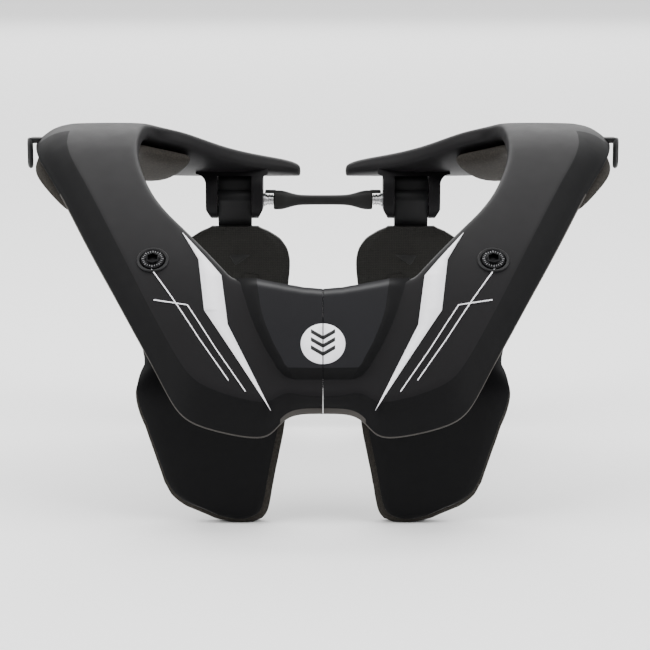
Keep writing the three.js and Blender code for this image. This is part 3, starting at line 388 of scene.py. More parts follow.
def finished(thing, material, body, replaces=(), smooth=40, others=()):
    """Gives a piece its materials, soft shading, the body it rides on and what it stands for."""
    thing.data.materials.append(material)
    for other in others:
        thing.data.materials.append(other)
    for polygon in thing.data.polygons:
        polygon.use_smooth = True
    if smooth is not None:
        thing.data.set_sharp_from_angle(angle=math.radians(smooth))
    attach(thing, body)
    if replaces:
        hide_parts(*replaces)
    return thing


# Materials

def linear(hex_colour):
    """An sRGB hex colour as the linear one that a shader takes."""
    values = [int(hex_colour[k:k + 2], 16) / 255 for k in (0, 2, 4)]
    return [v / 12.92 if v <= 0.04045 else ((v + 0.055) / 1.055) ** 2.4 for v in values] + [1.0]


def add(tree, kind, settings=None, links=None):
    """Adds a node: settings are its properties and input values, links go from outputs to its inputs."""
    node = tree.nodes.new(kind)
    for key, value in (settings or {}).items():
        if isinstance(key, str) and hasattr(node, key):
            setattr(node, key, value)
        else:
            node.inputs[key].default_value = value
    for key, output in (links or {}).items():
        tree.links.new(output, node.inputs[key])
    return node


def new_material(name, settings):
    """A material with its shader, its object coordinates and its node tree."""
    material = bpy.data.materials.new(name)
    material.use_nodes = True
    tree = material.node_tree
    tree.nodes.clear()
    shader = add(tree, "ShaderNodeBsdfPrincipled", settings)
    add(tree, "ShaderNodeOutputMaterial", {}, {"Surface": shader.outputs[0]})
    place = add(tree, "ShaderNodeTexCoord").outputs["Object"]
    return material, tree, shader, place


def speckle(tree, place, size_mm, detail, rough=0.5):
    """Noise whose grains are about so many millimetres across."""
    settings = {"Scale": 1 / (size_mm * MM), "Detail": detail, "Roughness": rough}
    return add(tree, "ShaderNodeTexNoise", settings, {"Vector": place}).outputs["Fac"]


def ranged(tree, value, low, high):
    """A value from 0 to 1, spread from low to high."""
    settings = {"To Min": low, "To Max": high}
    return add(tree, "ShaderNodeMapRange", settings, {"Value": value}).outputs["Result"]


def between(tree, factor, first, second):
    """A colour between two hex colours."""
    mix = add(tree, "ShaderNodeMix", {"data_type": "RGBA"}, {"Factor": factor})
    mix.inputs[6].default_value = linear(first)
    mix.inputs[7].default_value = linear(second)
    return mix.outputs[2]


def bumped(tree, shader, height, depth_mm, strength):
    settings = {"Distance": depth_mm * MM, "Strength": strength}
    bump = add(tree, "ShaderNodeBump", settings, {"Height": height})
    tree.links.new(bump.outputs["Normal"], shader.inputs["Normal"])


def moulded_nylon(name, dark, light, roughness, grain_mm, shine=0.2):
    """Glass-filled nylon, injection moulded: a satin skin with a fine pebble and faint flow clouds."""
    settings = {"IOR": 1.5, "Roughness": roughness, "Specular IOR Level": shine}
    material, tree, shader, place = new_material(name, settings)
    clouds = speckle(tree, place, 38, 4.0)
    tree.links.new(between(tree, clouds, dark, light), shader.inputs["Base Color"])
    # The real pebble is about 0.15 mm, too fine for the picture, so it is drawn coarser
    pebble = speckle(tree, place, grain_mm, 3.0, 0.6)
    bumped(tree, shader, pebble, 0.05, 0.5)
    worn = ranged(tree, speckle(tree, place, 9, 3.0), roughness - 0.05, roughness + 0.07)
    tree.links.new(worn, shader.inputs["Roughness"])
    return material


def closed_cell_foam(name, dark, light):
    """Cross-linked EVA foam: dull, nearly black, with fine open cells where it was cut."""
    settings = {"IOR": 1.45, "Roughness": 0.92, "Specular IOR Level": 0.2}
    material, tree, shader, place = new_material(name, settings)
    cell_size = 1.1 * MM
    cells = add(tree, "ShaderNodeTexVoronoi", {"Scale": 1 / cell_size}, {"Vector": place}).outputs["Distance"]
    tree.links.new(between(tree, cells, dark, light), shader.inputs["Base Color"])
    bumped(tree, shader, cells, 0.12, 0.6)
    return material


def diamond_rubber(name, dark, light):
    """Moulded thermoplastic rubber with a fine diamond texture, like the grip on a tool handle."""
    settings = {"IOR": 1.5, "Roughness": 0.66, "Specular IOR Level": 0.16}
    material, tree, shader, place = new_material(name, settings)
    apart = add(tree, "ShaderNodeSeparateXYZ", {}, {"Vector": place}).outputs

    def worked(operation, first, second=None, by=0.5):
        links = {0: first} if second is None else {0: first, 1: second}
        return add(tree, "ShaderNodeMath", {"operation": operation, 1: by}, links).outputs[0]
    # Two crossed sets of ridges, 2.1 mm apart along X and Z, leave diamonds 1.5 mm wide
    ridges = []
    for way in ("ADD", "SUBTRACT"):
        turns = worked("MULTIPLY", worked(way, apart["X"], apart["Z"]), by=math.tau / (2.1 * MM))
        ridges.append(worked("SINE", turns))
    crossed = worked("MULTIPLY", *ridges)
    settings = {"From Min": -1, "From Max": 1}
    relief = add(tree, "ShaderNodeMapRange", settings, {"Value": crossed}).outputs["Result"]
    # The colour follows the relief, darker in the hollows and paler on the crests: painted shade
    tree.links.new(between(tree, relief, dark, light), shader.inputs["Base Color"])
    bumped(tree, shader, relief, 0.3, 0.8)
    return material


def plain_rubber(name, dark, light):
    """Natural rubber, moulded: dull black with a faint bloom."""
    settings = {"IOR": 1.52, "Roughness": 0.6, "Specular IOR Level": 0.2}
    material, tree, shader, place = new_material(name, settings)
    tree.links.new(between(tree, speckle(tree, place, 6, 4.0), dark, light), shader.inputs["Base Color"])
    bumped(tree, shader, speckle(tree, place, 0.6, 2.0), 0.04, 0.5)
    return material


def worked_steel(name, dark, light, roughness):
    """Steel, turned on a lathe and polished or blacked: metallic, with faint scuffs."""
    material, tree, shader, place = new_material(name, {"Metallic": 1.0, "Roughness": roughness})
    tree.links.new(between(tree, speckle(tree, place, 2.5, 4.0), dark, light), shader.inputs["Base Color"])
    scuffs = ranged(tree, speckle(tree, place, 1.2, 3.0), roughness - 0.06, roughness + 0.1)
    tree.links.new(scuffs, shader.inputs["Roughness"])
    bumped(tree, shader, speckle(tree, place, 0.5, 2.0), 0.01, 0.4)
    return material


def screen_ink(name, dark, light):
    """Screen-printed ink: flat colour over the grain of the plastic, a little worn."""
    settings = {"IOR": 1.45, "Roughness": 0.5, "Specular IOR Level": 0.2}
    material, tree, shader, place = new_material(name, settings)
    tree.links.new(between(tree, speckle(tree, place, 5, 5.0), dark, light), shader.inputs["Base Color"])
    bumped(tree, shader, speckle(tree, place, 0.6, 3.0), 0.03, 0.4)
    return material


# The frame's satin face, and the centre panel's, a touch paler and glossier
SHELL = moulded_nylon("moulded_nylon_grey", "0a090a", "100f11", 0.5, 0.8, 0.12)
PANEL = moulded_nylon("moulded_nylon_panel", "101012", "161619", 0.46, 0.8, 0.11)
# The sloped bands, rougher and less glossy, and darker in colour as painted shade
DULL_PAINTED_SHADE_BEVEL = moulded_nylon("moulded_nylon_dull_painted_shade", "09090a", "0d0d0e", 0.6, 0.8, 0.08)
# Painted highlight: the rolled outer rim made paler than the skin, as if it caught the light
PAINTED_RIM_HIGHLIGHT = moulded_nylon("moulded_nylon_painted_rim_highlight", "2d2b29", "413e3b", 0.6, 0.8)
# Polypropylene from a polished mould: blacker and smoother than the frame
CHEST_SHELL = moulded_nylon("moulded_polypropylene_black", "050506", "09090a", 0.36, 0.9, 0.07)
# ABS: crisp small mouldings with a slight gloss
BLACK_PLASTIC = moulded_nylon("moulded_abs_black", "101011", "171718", 0.44, 0.7, 0.16)
FOAM = closed_cell_foam("eva_foam_dark", "1b1917", "302d29")
PAD_RUBBER = diamond_rubber("diamond_rubber_grey", "0f0f0e", "1f1e1b")
BAR_RUBBER = plain_rubber("natural_rubber_black", "0e0e0e", "191918")
BLACK_STEEL = worked_steel("blacked_steel", "121213", "1f1f20", 0.34)
BRIGHT_STEEL = worked_steel("polished_stainless_steel", "dededf", "efeff1", 0.32)
INK = screen_ink("screen_ink_white", "e6e5ea", "f4f3f7")
DARK_INK = screen_ink("screen_ink_black", "101011", "19191a")
TICK_INK = screen_ink("screen_ink_grey", "6e6e70", "8c8c8e")

# The moulded halves

front_rim = min(point.y for k in range(len(SECTIONS)) for point in shell_ring(section(k)))
ARCH_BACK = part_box("frame_left")[0].y / MM - front_rim

PIVOT_OUT = 53
PIVOT_DROP = 16.1
BRACKET_WIDTH = 34
SLOT_WIDTH = 20.6
EAR_RADIUS = 11
EAR_CHAMFER = 3
BRACKET_FLARE = 6
PIN_DIAMETER = 6.8
PIN_CLEARANCE = 0.6
PIN_REACH = 5.6  # from its collar to where it goes into the bar
BRACKET_ALONG = ARCH_LENGTH - 24
PIVOT = arch_point(PIVOT_OUT, BRACKET_ALONG, 0)
ARM_UNDERSIDE = arch_point(PIVOT_OUT, BRACKET_ALONG, -PLATE_THICKNESS).z
PIVOT_HEIGHT = ARM_UNDERSIDE - PIVOT_DROP
PIVOT.z = PIVOT_HEIGHT

BOLT_RECESS_RADIUS = 8.2
BOLT_SECTION = section(15.7)
BOLT_FLAT = BOLT_SECTION["inner"] + BOLT_SECTION["way"] * BOLT_SECTION["width"] * 0.5
BOLT_SEAT = arch_point(BOLT_FLAT.x, BOLT_FLAT.y, 0)
BOLT_AXIS = (arch_point(BOLT_FLAT.x, BOLT_FLAT.y, 1) - BOLT_SEAT).normalized()


def on_bolt(bm):
    """Stands a body made round Z on the bolt's seat."""
    turn = Vector((0, 0, 1)).rotation_difference(BOLT_AXIS).to_matrix().to_4x4()
    return placed(bm, Matrix.Translation(BOLT_SEAT) @ turn)


def on_pivot(bm):
    """Lays a body made round Z along the pivot, its top towards the centre line."""
    return placed(bm, Matrix.Translation(PIVOT) @ Matrix.Rotation(math.pi / 2, 4, "Y"))


# Which points of a ring the lines of a half run through
ROLL_LINE, BEVEL_LINE, RIM_LINE, RIM_HIGHLIGHT_LINE = 4, 7, 10, 11
# How many sections the bands cover, counted from the seam
MIDDLE_SECTIONS = 4  # where the painted rim highlight covers a broader band
RIM_HIGHLIGHT_SECTIONS = 20  # as far as the shoulder
BEVEL_SECTIONS = 24  # round the shoulder
RIM_HIGHLIGHT_SKIN, DULL_SHADE_SKIN = 1, 2  # their places in a half's list of materials


def moulded_half():
    """The frame's left half, with its crisp lines, painted shade on its bevel and a painted highlight on its
    rim.
    """
    bm = loft([shell_ring(section(k)) for k in range(len(SECTIONS))])
    crease = bm.edges.layers.float.new("crease_edge")
    for edge in bm.edges:
        if all(abs(v.co.x) < SEAM_NEAR for v in edge.verts):
            edge[crease] = 1.0
    # The lines along the inner roll, the top of the bevel and the rim stay crisp
    bm.verts.ensure_lookup_table()
    count = len(bm.verts) // len(SECTIONS)
    for line, crispness in ((ROLL_LINE, 0.35), (BEVEL_LINE, 0.85), (RIM_LINE, 0.5)):
        for ring in range(len(SECTIONS) - 1):
            edge = bm.edges.get((bm.verts[ring * count + line], bm.verts[(ring + 1) * count + line]))
            edge[crease] = crispness * (1 - section(ring)["puff"])
    # Round the front the rolled rim is painted paler as a highlight, and the rest of the bevel darker as
    # shade
    for ring in range(BEVEL_SECTIONS):
        highlight_from = RIM_LINE if ring < MIDDLE_SECTIONS else RIM_HIGHLIGHT_LINE
        for line in range(BEVEL_LINE, RIM_HIGHLIGHT_LINE + 2):
            corners = [bm.verts[row * count + k] for row, k in (
                (ring, line), (ring, line + 1), (ring + 1, line + 1), (ring + 1, line))]
            highlit = line >= highlight_from and ring < RIM_HIGHLIGHT_SECTIONS
            bm.faces.get(corners).material_index = RIM_HIGHLIGHT_SKIN if highlit else DULL_SHADE_SKIN
    return bm


PANEL_RAISE = 5
PANEL_HALF_WIDTH = 44
PANEL_START = 30
PANEL_ROWS, PANEL_COLUMNS = 56, 38
PANEL_FLAT = 26  # how many of the columns lie on the raised face
PANEL_FOOT = 0.11  # share of the length over which its lower end slopes up
GROOVE_HALF_WIDTH, GROOVE_DEPTH = 0.35, 0.4
# Share of the length, then the half widths of the raised face and of its foot
PANEL_OUTLINE = [(0.0, 0.28, 0.38), (0.07, 0.36, 0.47), (0.14, 0.43, 0.54), (0.35, 0.56, 0.69),
                 (0.6, 0.68, 0.83), (0.8, 0.73, 0.92), (1.0, 0.76, 1.0)]
FRONT_SECTIONS = SECTIONS[:14]  # those whose inner edge crosses the front


def inner_edge_along(out):
    return straight(FRONT_SECTIONS, out / HALF_WIDTH) * ARCH_LENGTH


def centre_panel():
    """The raised face between the arms, its upper edge rolled over and its sides sloped."""
    def place(across, up, face):
        crest = smooth_lookup(PANEL_OUTLINE, up, 1) * PANEL_HALF_WIDTH
        foot = smooth_lookup(PANEL_OUTLINE, up, 2) * PANEL_HALF_WIDTH
        column = round(across * PANEL_COLUMNS)
        slant = max(column - PANEL_FLAT, 0) / (PANEL_COLUMNS - PANEL_FLAT)
        if column > PANEL_FLAT:
            out = lerp(crest, foot, slant)
        elif column:
            out = lerp(GROOVE_HALF_WIDTH, crest, (column - 1) / (PANEL_FLAT - 1))
        else:
            out = SEAM_CLOSED
        along = lerp(PANEL_START, inner_edge_along(out) - 0.3, up)
        side = 1 - lerp(slant, smoothstep(0, 1, slant), 0.35)
        ends = smoothstep(0, PANEL_FOOT, up) * (1 - 0.45 * smoothstep(0.88, 1, up))
        groove = 0 if column else GROOVE_DEPTH
        height = (PANEL_RAISE + 1) * side * ends - 1 - groove
        return arch_point(out, along, -PLATE_THICKNESS * 0.6 if face else height)

    def paint(across, up):
        # The sloped sides and the lower end take the darker material, as painted shade
        sloped = across * PANEL_COLUMNS > PANEL_FLAT or up < 0.1
        return 1 if sloped else 0
    return sheet(PANEL_COLUMNS, PANEL_ROWS, place, paint)


def bracket():
    """The ears that hold the pin: a body with their front outline, and one with their side outline."""
    half = BRACKET_WIDTH / 2
    top = arch_point(PIVOT_OUT, BRACKET_ALONG, -PLATE_THICKNESS * 0.6).z
    under = ARM_UNDERSIDE
    bottom = PIVOT_HEIGHT - EAR_RADIUS
    turns = [k * math.pi / 16 for k in range(9)]
    right = [(half + BRACKET_FLARE, top)]
    right += [(half + BRACKET_FLARE * (1 - math.sin(turn)), under - BRACKET_FLARE * (1 - math.cos(turn)))
              for turn in turns]
    right += [(half, bottom + EAR_CHAMFER * 2), (half - EAR_CHAMFER, bottom), (SLOT_WIDTH / 2, bottom)]
    right += [(SLOT_WIDTH / 2, under - 1)]
    # The side towards the centre line has a smaller flare
    inner = [(half + 3, top), (half + 3, under), (half + 0.8, under - 0.9), (half, under - 3)] + right[-4:]
    outline = inner + [(-x, z) for x, z in reversed(right)]
    # The front face leans back towards the top, so that it runs into the arm's underside
    side = [(EAR_RADIUS, top + 2), (7 - EAR_RADIUS, top + 2), (5 - EAR_RADIUS, under + 1),
            (1.2 - EAR_RADIUS, under - 4), (-EAR_RADIUS, under - 8)]
    turns = [math.pi + k * math.pi / 20 for k in range(21)]
    side += [(EAR_RADIUS * math.cos(turn), PIVOT_HEIGHT + EAR_RADIUS * math.sin(turn)) for turn in turns]
    seen = prism(outline, -EAR_RADIUS * 1.5, EAR_RADIUS * 1.5, "Y")
    flank = prism(side, -BRACKET_WIDTH, BRACKET_WIDTH, "X")
    shift = Matrix.Translation((PIVOT.x, PIVOT.y, 0))
    return placed(seen, shift), placed(flank, shift)


def pivot_bore():
    return on_pivot(plug((PIN_DIAMETER + PIN_CLEARANCE) / 2, BRACKET_WIDTH * 1.6, 40))


def make_halves():
    for name, flip in sides():
        shell = subdivided(raw_object(f"frame_shell_{name}", flip(moulded_half())), 2)
        cut(shell, flip(on_bolt(plug(BOLT_RECESS_RADIUS, 8, 64))))
        finished(shell, SHELL, "frame", [f"frame_{name}"], others=(PAINTED_RIM_HIGHLIGHT, DULL_PAINTED_SHADE_BEVEL))
        panel = raw_object(f"centre_panel_{name}", flip(centre_panel()))
        finished(panel, PANEL, "frame", smooth=24, others=(DULL_PAINTED_SHADE_BEVEL,))
        seen, flank = bracket()
        ears = raw_object(f"bracket_{name}", flip(seen))
        cut(ears, flip(flank), "INTERSECT")
        cut(ears, flip(pivot_bore()))
        finished(bevelled(ears, 0.9, 3, 32), SHELL, "frame")


# Pins, bar, bolts and cups

def pin():
    """A pin with a recessed end, a collar, two grooves and a thinner tip inside the bar."""
    half, wide, narrow = BRACKET_WIDTH / 2, PIN_DIAMETER / 2, 2.9
    start, collar = 0.8 - half, half + 0.3
    grip = collar + PIN_REACH
    grooves = [(collar + 2.2, wide), (collar + 2.4, narrow), (collar + 2.9, narrow), (collar + 3.1, wide),
               (collar + 4.0, wide), (collar + 4.2, narrow), (collar + 4.7, narrow), (collar + 4.9, wide)]
    return on_pivot(turned([
        (start, 0), (start, 1.6), (start + 0.5, 1.9), (start + 0.1, 3.1), (start + 0.4, wide), (collar, wide),
        (collar, 3.9), (collar + 0.2, 4.1), (collar + 1.0, 4.1), (collar + 1.2, 3.9), (collar + 1.2, wide),
        *grooves, (grip, wide), (grip, 2.5), (grip + 9, 2.5), (grip + 9, 0)]))


BAR_HALF = PIVOT_OUT - BRACKET_WIDTH / 2 - PIN_REACH - 0.6
BAR_SQUARENESS = 4.0  # 2 would be an ellipse
# Distance in from the bar's end, height and depth, to the middle of its slim waist
BAR_STATIONS = [(0, 10.6, 10.4), (0.5, 11.4, 11.2), (4.5, 11.4, 11.2), (7, 10.4, 10.4), (10.5, 8.2, 8.6),
                (14, 6.5, 7.2), (17.5, 5.9, 6.6), (24, 5.7, 6.4), (BAR_HALF, 5.7, 6.4)]


def bar_ring(x, height, depth):
    points = []
    for k in range(20):
        angle = k * math.tau / 20
        c, s = math.cos(angle), math.sin(angle)
        r = (abs(c) ** BAR_SQUARENESS + abs(s) ** BAR_SQUARENESS) ** (-1 / BAR_SQUARENESS)
        points.append(Vector((x, PIVOT.y + depth / 2 * r * c, PIVOT.z + height / 2 * r * s)))
    return points


def flex_bar():
    """The rubber bar: blocky ends, a slim waist, and a lip over each pin."""
    rings = [bar_ring(inset - BAR_HALF, height, depth) for inset, height, depth in BAR_STATIONS]
    rings += [bar_ring(BAR_HALF - inset, height, depth) for inset, height, depth in BAR_STATIONS[-2::-1]]
    bar = subdivided(raw_object("flex_bar_rubber", loft(rings)), 2)
    for way in (-1, 1):
        near, far = sorted((way * (BAR_HALF - 1.5), way * (BAR_HALF + 5.0)))
        lip = block((near, PIVOT.y - 4.2, PIVOT.z + 4.35), (far, PIVOT.y + 4.2, PIVOT.z + 5.75))
        cut(bar, soften(lip, 0.5), "UNION")
    finished(bar, BAR_RUBBER, "frame", ["flex_bar"])


def bolt():
    """A broad flange that carries the ring of ticks, and a raised boss with the socket."""
    top, boss = 0.9, 2.1
    profile = [(-14, 0), (-14, 2.5), (top - 2.3, 2.5), (top - 2.3, 6.0), (top - 0.4, 6.1), (top, 5.8),
               (top, 3.9), (top + 0.2, 3.65), (boss - 0.3, 3.5), (boss, 3.2), (boss, 0)]
    return turned(profile, 64)


SOCKET_FLATS = 5


def hex_socket():
    socket = plug(SOCKET_FLATS / 2 / math.cos(math.pi / 6), 4, 6)
    return placed(socket, Matrix.Translation((0, 0, 2.2)))


def cup():
    profile = [(-2.9, 2.8), (-2.9, 8.3), (-0.2, 8.3), (0.25, 8.15), (0.5, 7.8), (0.5, 7.0), (0.3, 6.7),
               (-0.2, 6.4), (-1.7, 6.4), (-1.7, 2.8), (-2.9, 2.8)]
    return turned(profile, 72)


TICKS = 24


def tick_marks():
    """Plain printed ticks on the bolt's flange, as on a dial."""
    parts = []
    for k in range(TICKS):
        mark = block((4.3, -0.16, 0.86), (5.2 if k % 3 else 5.6, 0.16, 0.96))
        parts.append(placed(mark, Matrix.Rotation(k * math.tau / TICKS, 4, "Z")))
    return merged(*parts)


def make_fasteners():
    for name, flip in sides():
        steel_pin = raw_object(f"hinge_pin_{name}", flip(pin()))
        finished(steel_pin, BRIGHT_STEEL, "frame", [f"pivot_pin_{name}"], smooth=35)
        screw = raw_object(f"socket_bolt_{name}", flip(on_bolt(bolt())))
        cut(screw, flip(on_bolt(hex_socket())))
        finished(screw, BLACK_STEEL, "frame", [f"mount_bolt_{name}"], smooth=30)
        ring = raw_object(f"ring_cup_{name}", flip(on_bolt(cup())))
        finished(ring, BLACK_PLASTIC, "frame", [f"bolt_cup_{name}"], smooth=35)
        ticks = raw_object(f"cup_ticks_{name}", flip(on_bolt(tick_marks())))
        finished(ticks, TICK_INK, "frame", smooth=None)


# Back supports and their pads

BACK_PAD_HALF_WIDTH = 33
BACK_PAD_HEIGHT = PIVOT_HEIGHT - 15.5
BACK_PAD_THICKNESS = 9
# Share of the height and of the half width
BACK_PAD_OUTLINE = [(0.0, 0.3), (0.03, 0.46), (0.09, 0.58), (0.2, 0.66), (0.4, 0.79), (0.6, 0.91),
                    (0.74, 0.98), (0.83, 1.0), (0.89, 0.95), (0.94, 0.82), (0.975, 0.62), (1.0, 0.42)]
CARRIER_THICKNESS = 4
CARRIER_INSET = 3.5  # inside the pad's outline
KNUCKLE_RADIUS = 7.4
TONGUE_CLEAR = 0.3  # on each side of the slot
TONGUE_HALF = 3.5
CARRIER_BACK = 3


def leaf_point(front, thickness, inset, across, up, face):
    """A point of a tapered leaf under the pivot, its face eased off towards its edge."""
    height = lerp(inset, BACK_PAD_HEIGHT - inset, up)
    wide = smooth_lookup(BACK_PAD_OUTLINE, height / BACK_PAD_HEIGHT)
    side = math.sin((across - 0.5) * math.pi)
    half = BACK_PAD_HALF_WIDTH * wide - inset
    sweep = 5 * (1 - up) ** 2
    edge = min(1 - abs(side), min(up, 1 - up) * 4)
    ease = thickness * 0.3 * (1 - smoothstep(0, 0.22, edge))
    return Vector((PIVOT.x + side * half, front + sweep + (thickness if face else ease), height))


# Relief on a back pad, out from its middle and up from the floor: a raised tab, and a pressed line
PAD_TAB = [(-3.5, 108), (0.5, 101.5), (10.5, 108.5)]
PAD_LINE = [(3, 79), (0, 90), (6, 97), (14, 96), (19, 84)]


def beyond(corners, x, z):
    """How far a point lies outside a convex outline whose corners run anticlockwise."""
    return max(((x - ax) * (bz - az) - (z - az) * (bx - ax)) / math.hypot(bx - ax, bz - az)
               for (ax, az), (bx, bz) in zip(corners, corners[1:] + corners[:1]))


def pad_relief(x, z):
    """A shallow step round the tab, and the pressed line below it."""
    step = 0.4 * (1 - smoothstep(0.4, 1.2, beyond(PAD_TAB, x, z)))
    line = 0.7 * (1 - smoothstep(0.2, 0.8, abs(beyond(PAD_LINE[::-1], x, z))))
    return step - line


def pad_point(front, across, up, face):
    point = leaf_point(front, BACK_PAD_THICKNESS, 0, across, up, face)
    if not face:
        point.y -= pad_relief(point.x - PIVOT.x, point.z)
    return point


def tongue_head():
    """The tongue's knuckle round the pin, and the rounded end above it that fills the slot."""
    def arc(radius, height, low, high, steps):
        turns = [lerp(low, high, k / steps) for k in range(steps + 1)]
        return [(radius * math.cos(turn), height + radius * math.sin(turn)) for turn in turns]
    entry = math.asin(TONGUE_HALF / KNUCKLE_RADIUS)
    tip = ARM_UNDERSIDE - 1.5 - TONGUE_HALF
    return (arc(KNUCKLE_RADIUS, PIVOT_HEIGHT, 0, math.pi / 2 - entry, 9)
            + arc(TONGUE_HALF, tip, 0, math.pi, 12)
            + arc(KNUCKLE_RADIUS, PIVOT_HEIGHT, math.pi / 2 + entry, math.pi, 9))


def tongue():
    """The tongue from its head down to where it runs into the carrier."""
    low = BACK_PAD_HEIGHT - 15.5
    near, far = CARRIER_BACK - TONGUE_HALF, CARRIER_BACK + TONGUE_HALF
    outline = tongue_head() + [(near, BACK_PAD_HEIGHT), (near, low), (far, low), (far, BACK_PAD_HEIGHT)]
    half = SLOT_WIDTH / 2 - TONGUE_CLEAR
    return placed(prism(outline, -half, half, "X"), Matrix.Translation((PIVOT.x, PIVOT.y, 0)))


def make_back_supports():
    carrier_front = PIVOT.y + CARRIER_BACK - TONGUE_HALF
    front = PIVOT.y - TONGUE_HALF - 0.3 - BACK_PAD_THICKNESS + CARRIER_BACK
    for name, flip in sides():
        body = f"back_support_{name}"
        pad = raw_object(f"back_pad_rubber_{name}", flip(sheet(90, 170, partial(pad_point, front))))
        finished(bevelled(pad, 0.9, 3, 40), PAD_RUBBER, body, [f"back_pad_{name}"])
        corners = [(PIVOT.x + x, z) for x, z in PAD_TAB]
        tab = soften(prism(corners, front - 1.3, front + 1.5, "Y"), 1.3, 4)
        finished(raw_object(f"pad_tab_{name}", flip(tab)), BAR_RUBBER, body)
        leaf = sheet(24, 40, partial(leaf_point, carrier_front, CARRIER_THICKNESS, CARRIER_INSET))
        carrier = raw_object(f"hinge_carrier_{name}", flip(leaf))
        cut(carrier, flip(tongue()), "UNION")
        cut(carrier, flip(pivot_bore()))
        finished(bevelled(carrier, 0.6, 2, 45), BLACK_PLASTIC, body, [body])


# Chest plates and their foam

CHEST_WIDTH = 94
CHEST_SET_BACK = 31
CHEST_BEND = 58
CHEST_PLATE_THICKNESS = 3.2
CHEST_PAD_THICKNESS = 7
CHEST_RIM = 2.8
CHEST_RIM_OUTER = 1
CHEST_TANG_START = 46
TANG_PAST_BOLT, TANG_OUTER, TANG_INNER = 12, 10, 13.3
# Share of the bend's height, then the outer and the inner edge as shares of the width
CHEST_OUTLINE = [(0.0, 0.5, 0.38), (0.025, 0.57, 0.335), (0.08, 0.645, 0.305), (0.15, 0.745, 0.29),
                 (0.24, 0.812, 0.279), (0.36, 0.853, 0.266), (0.62, 0.904, 0.235), (0.85, 0.95, 0.208),
                 (1.0, 0.985, 0.2), (1.15, 1.0, 0.21), (1.28, 0.985, 0.24), (1.42, 0.95, 0.29)]


def chest_under(along):
    return arch_point(0, along, -PLATE_THICKNESS - 0.7)


def chest_face(place):
    """A point on the way up a chest support, and which way its thickness goes.

    The place runs to 1 up the plate, to 2 round the bend and to 3 along the tang under the frame.
    """
    meet, next_ = chest_under(CHEST_TANG_START), chest_under(CHEST_TANG_START + 1)
    slope = (next_.z - meet.z) / (next_.y - meet.y)
    foot = arch_point(0, 0, 0).y + CHEST_SET_BACK
    corner = meet.z - (meet.y - foot) * slope
    if place <= 1:
        return Vector((foot, CHEST_BEND * place)), Vector((1, 0))
    if place <= 2:
        t = place - 1
        a, b, c = Vector((foot, CHEST_BEND)), Vector((foot, corner)), Vector((meet.y, meet.z))
        point = a * (1 - t) ** 2 + b * 2 * t * (1 - t) + c * t * t
        way = ((b - a) * (1 - t) + (c - b) * t).normalized()
        return point, Vector((way.y, -way.x))
    along = lerp(CHEST_TANG_START, BOLT_FLAT.y + TANG_PAST_BOLT, place - 2)
    point = chest_under(along)
    angle = slope_at(along)
    return Vector((point.y, point.z)), Vector((math.sin(angle), -math.cos(angle)))


def chest_value(share, column):
    """A column of the outline, carried on in a straight line above its last row."""
    last = CHEST_OUTLINE[-1][0]
    lookup = smooth_lookup if share < last else straight
    return lookup(CHEST_OUTLINE, share, column)


def chest_edges(place, rim, outer_rim):
    height = chest_face(min(place, 2))[0].y
    share = max(height - rim, 0) / CHEST_BEND
    outer = chest_value(share, 1) * CHEST_WIDTH - outer_rim
    inner = chest_value(share, 2) * CHEST_WIDTH + rim
    return (lerp(outer, BOLT_FLAT.x + TANG_OUTER, smoothstep(2, 2.5, place)),
            lerp(inner, BOLT_FLAT.x - TANG_INNER, smoothstep(2, 2.6, place)))


def chest_layer(columns, rows, end, rim, outer_rim, depth, thickness):
    """The plate or its foam: up to a place on the support, so far in from the rim and so thick."""
    start = rim / CHEST_BEND

    def place(across, up, face):
        way = lerp(start, end, up)
        point, back = chest_face(way)
        outer, inner = chest_edges(way, rim, outer_rim)
        out = lerp(inner, outer, across)
        edge = min(across, 1 - across, up * 3)
        ease = min(thickness * 0.35, 1.4) * (1 - smoothstep(0, 0.07, edge))
        crown = 0.8 * (1 - (2 * across - 1) ** 2) if way < 2 else 0
        far = depth + (thickness if face else ease - crown)
        return Vector((-out, point.x + back.x * far, point.y + back.y * far))
    return sheet(columns, rows, place)


def make_chest_supports():
    for name, flip in sides():
        layer = chest_layer(24, 90, 3, CHEST_RIM, CHEST_RIM_OUTER, 0, CHEST_PLATE_THICKNESS)
        plate = bevelled(raw_object(f"chest_shell_{name}", flip(layer)), 1.0, 3, 40)
        finished(plate, CHEST_SHELL, "frame", [f"chest_plate_{name}"])
        layer = chest_layer(24, 60, 2.15, 0, 0, CHEST_PLATE_THICKNESS + 0.3, CHEST_PAD_THICKNESS)
        pad = bevelled(raw_object(f"chest_foam_{name}", flip(layer)), 1.4, 3, 40)
        finished(pad, FOAM, "frame", [f"chest_pad_{name}"])


# Shoulder pads

SHOULDER_PAD_THICKNESS = 11
# Section number, depth near the inner and the outer edge, and reach across
SHOULDER_ROWS = [(19, 0.16, 0.22, 0.95), (20, 0.36, 0.55, 1.04), (21, 0.5, 0.68, 1.09),
                 (22, 0.6, 0.68, 1.09), (23, 0.68, 0.62, 1.03), (24, 0.76, 0.58, 0.975),
                 (26, 0.86, 0.5, 0.975), (28, 0.9, 0.4, 1.0), (29, 0.86, 0.37, 1.0), (30, 0.74, 0.36, 1.0),
                 (31, 0.42, 0.36, 1.0)]
# Shares of the way across and of the depth, round the foam from its outer upper edge
SHOULDER_RING = [(0.95, 0), (0.8, 0), (0.6, 0), (0.4, 0), (0.2, 0), (0.06, 0), (0.03, 0.55), (0.15, 0.95),
                 (0.4, 1), (0.75, 1), (0.97, 0.85), (1.0, 0.4)]


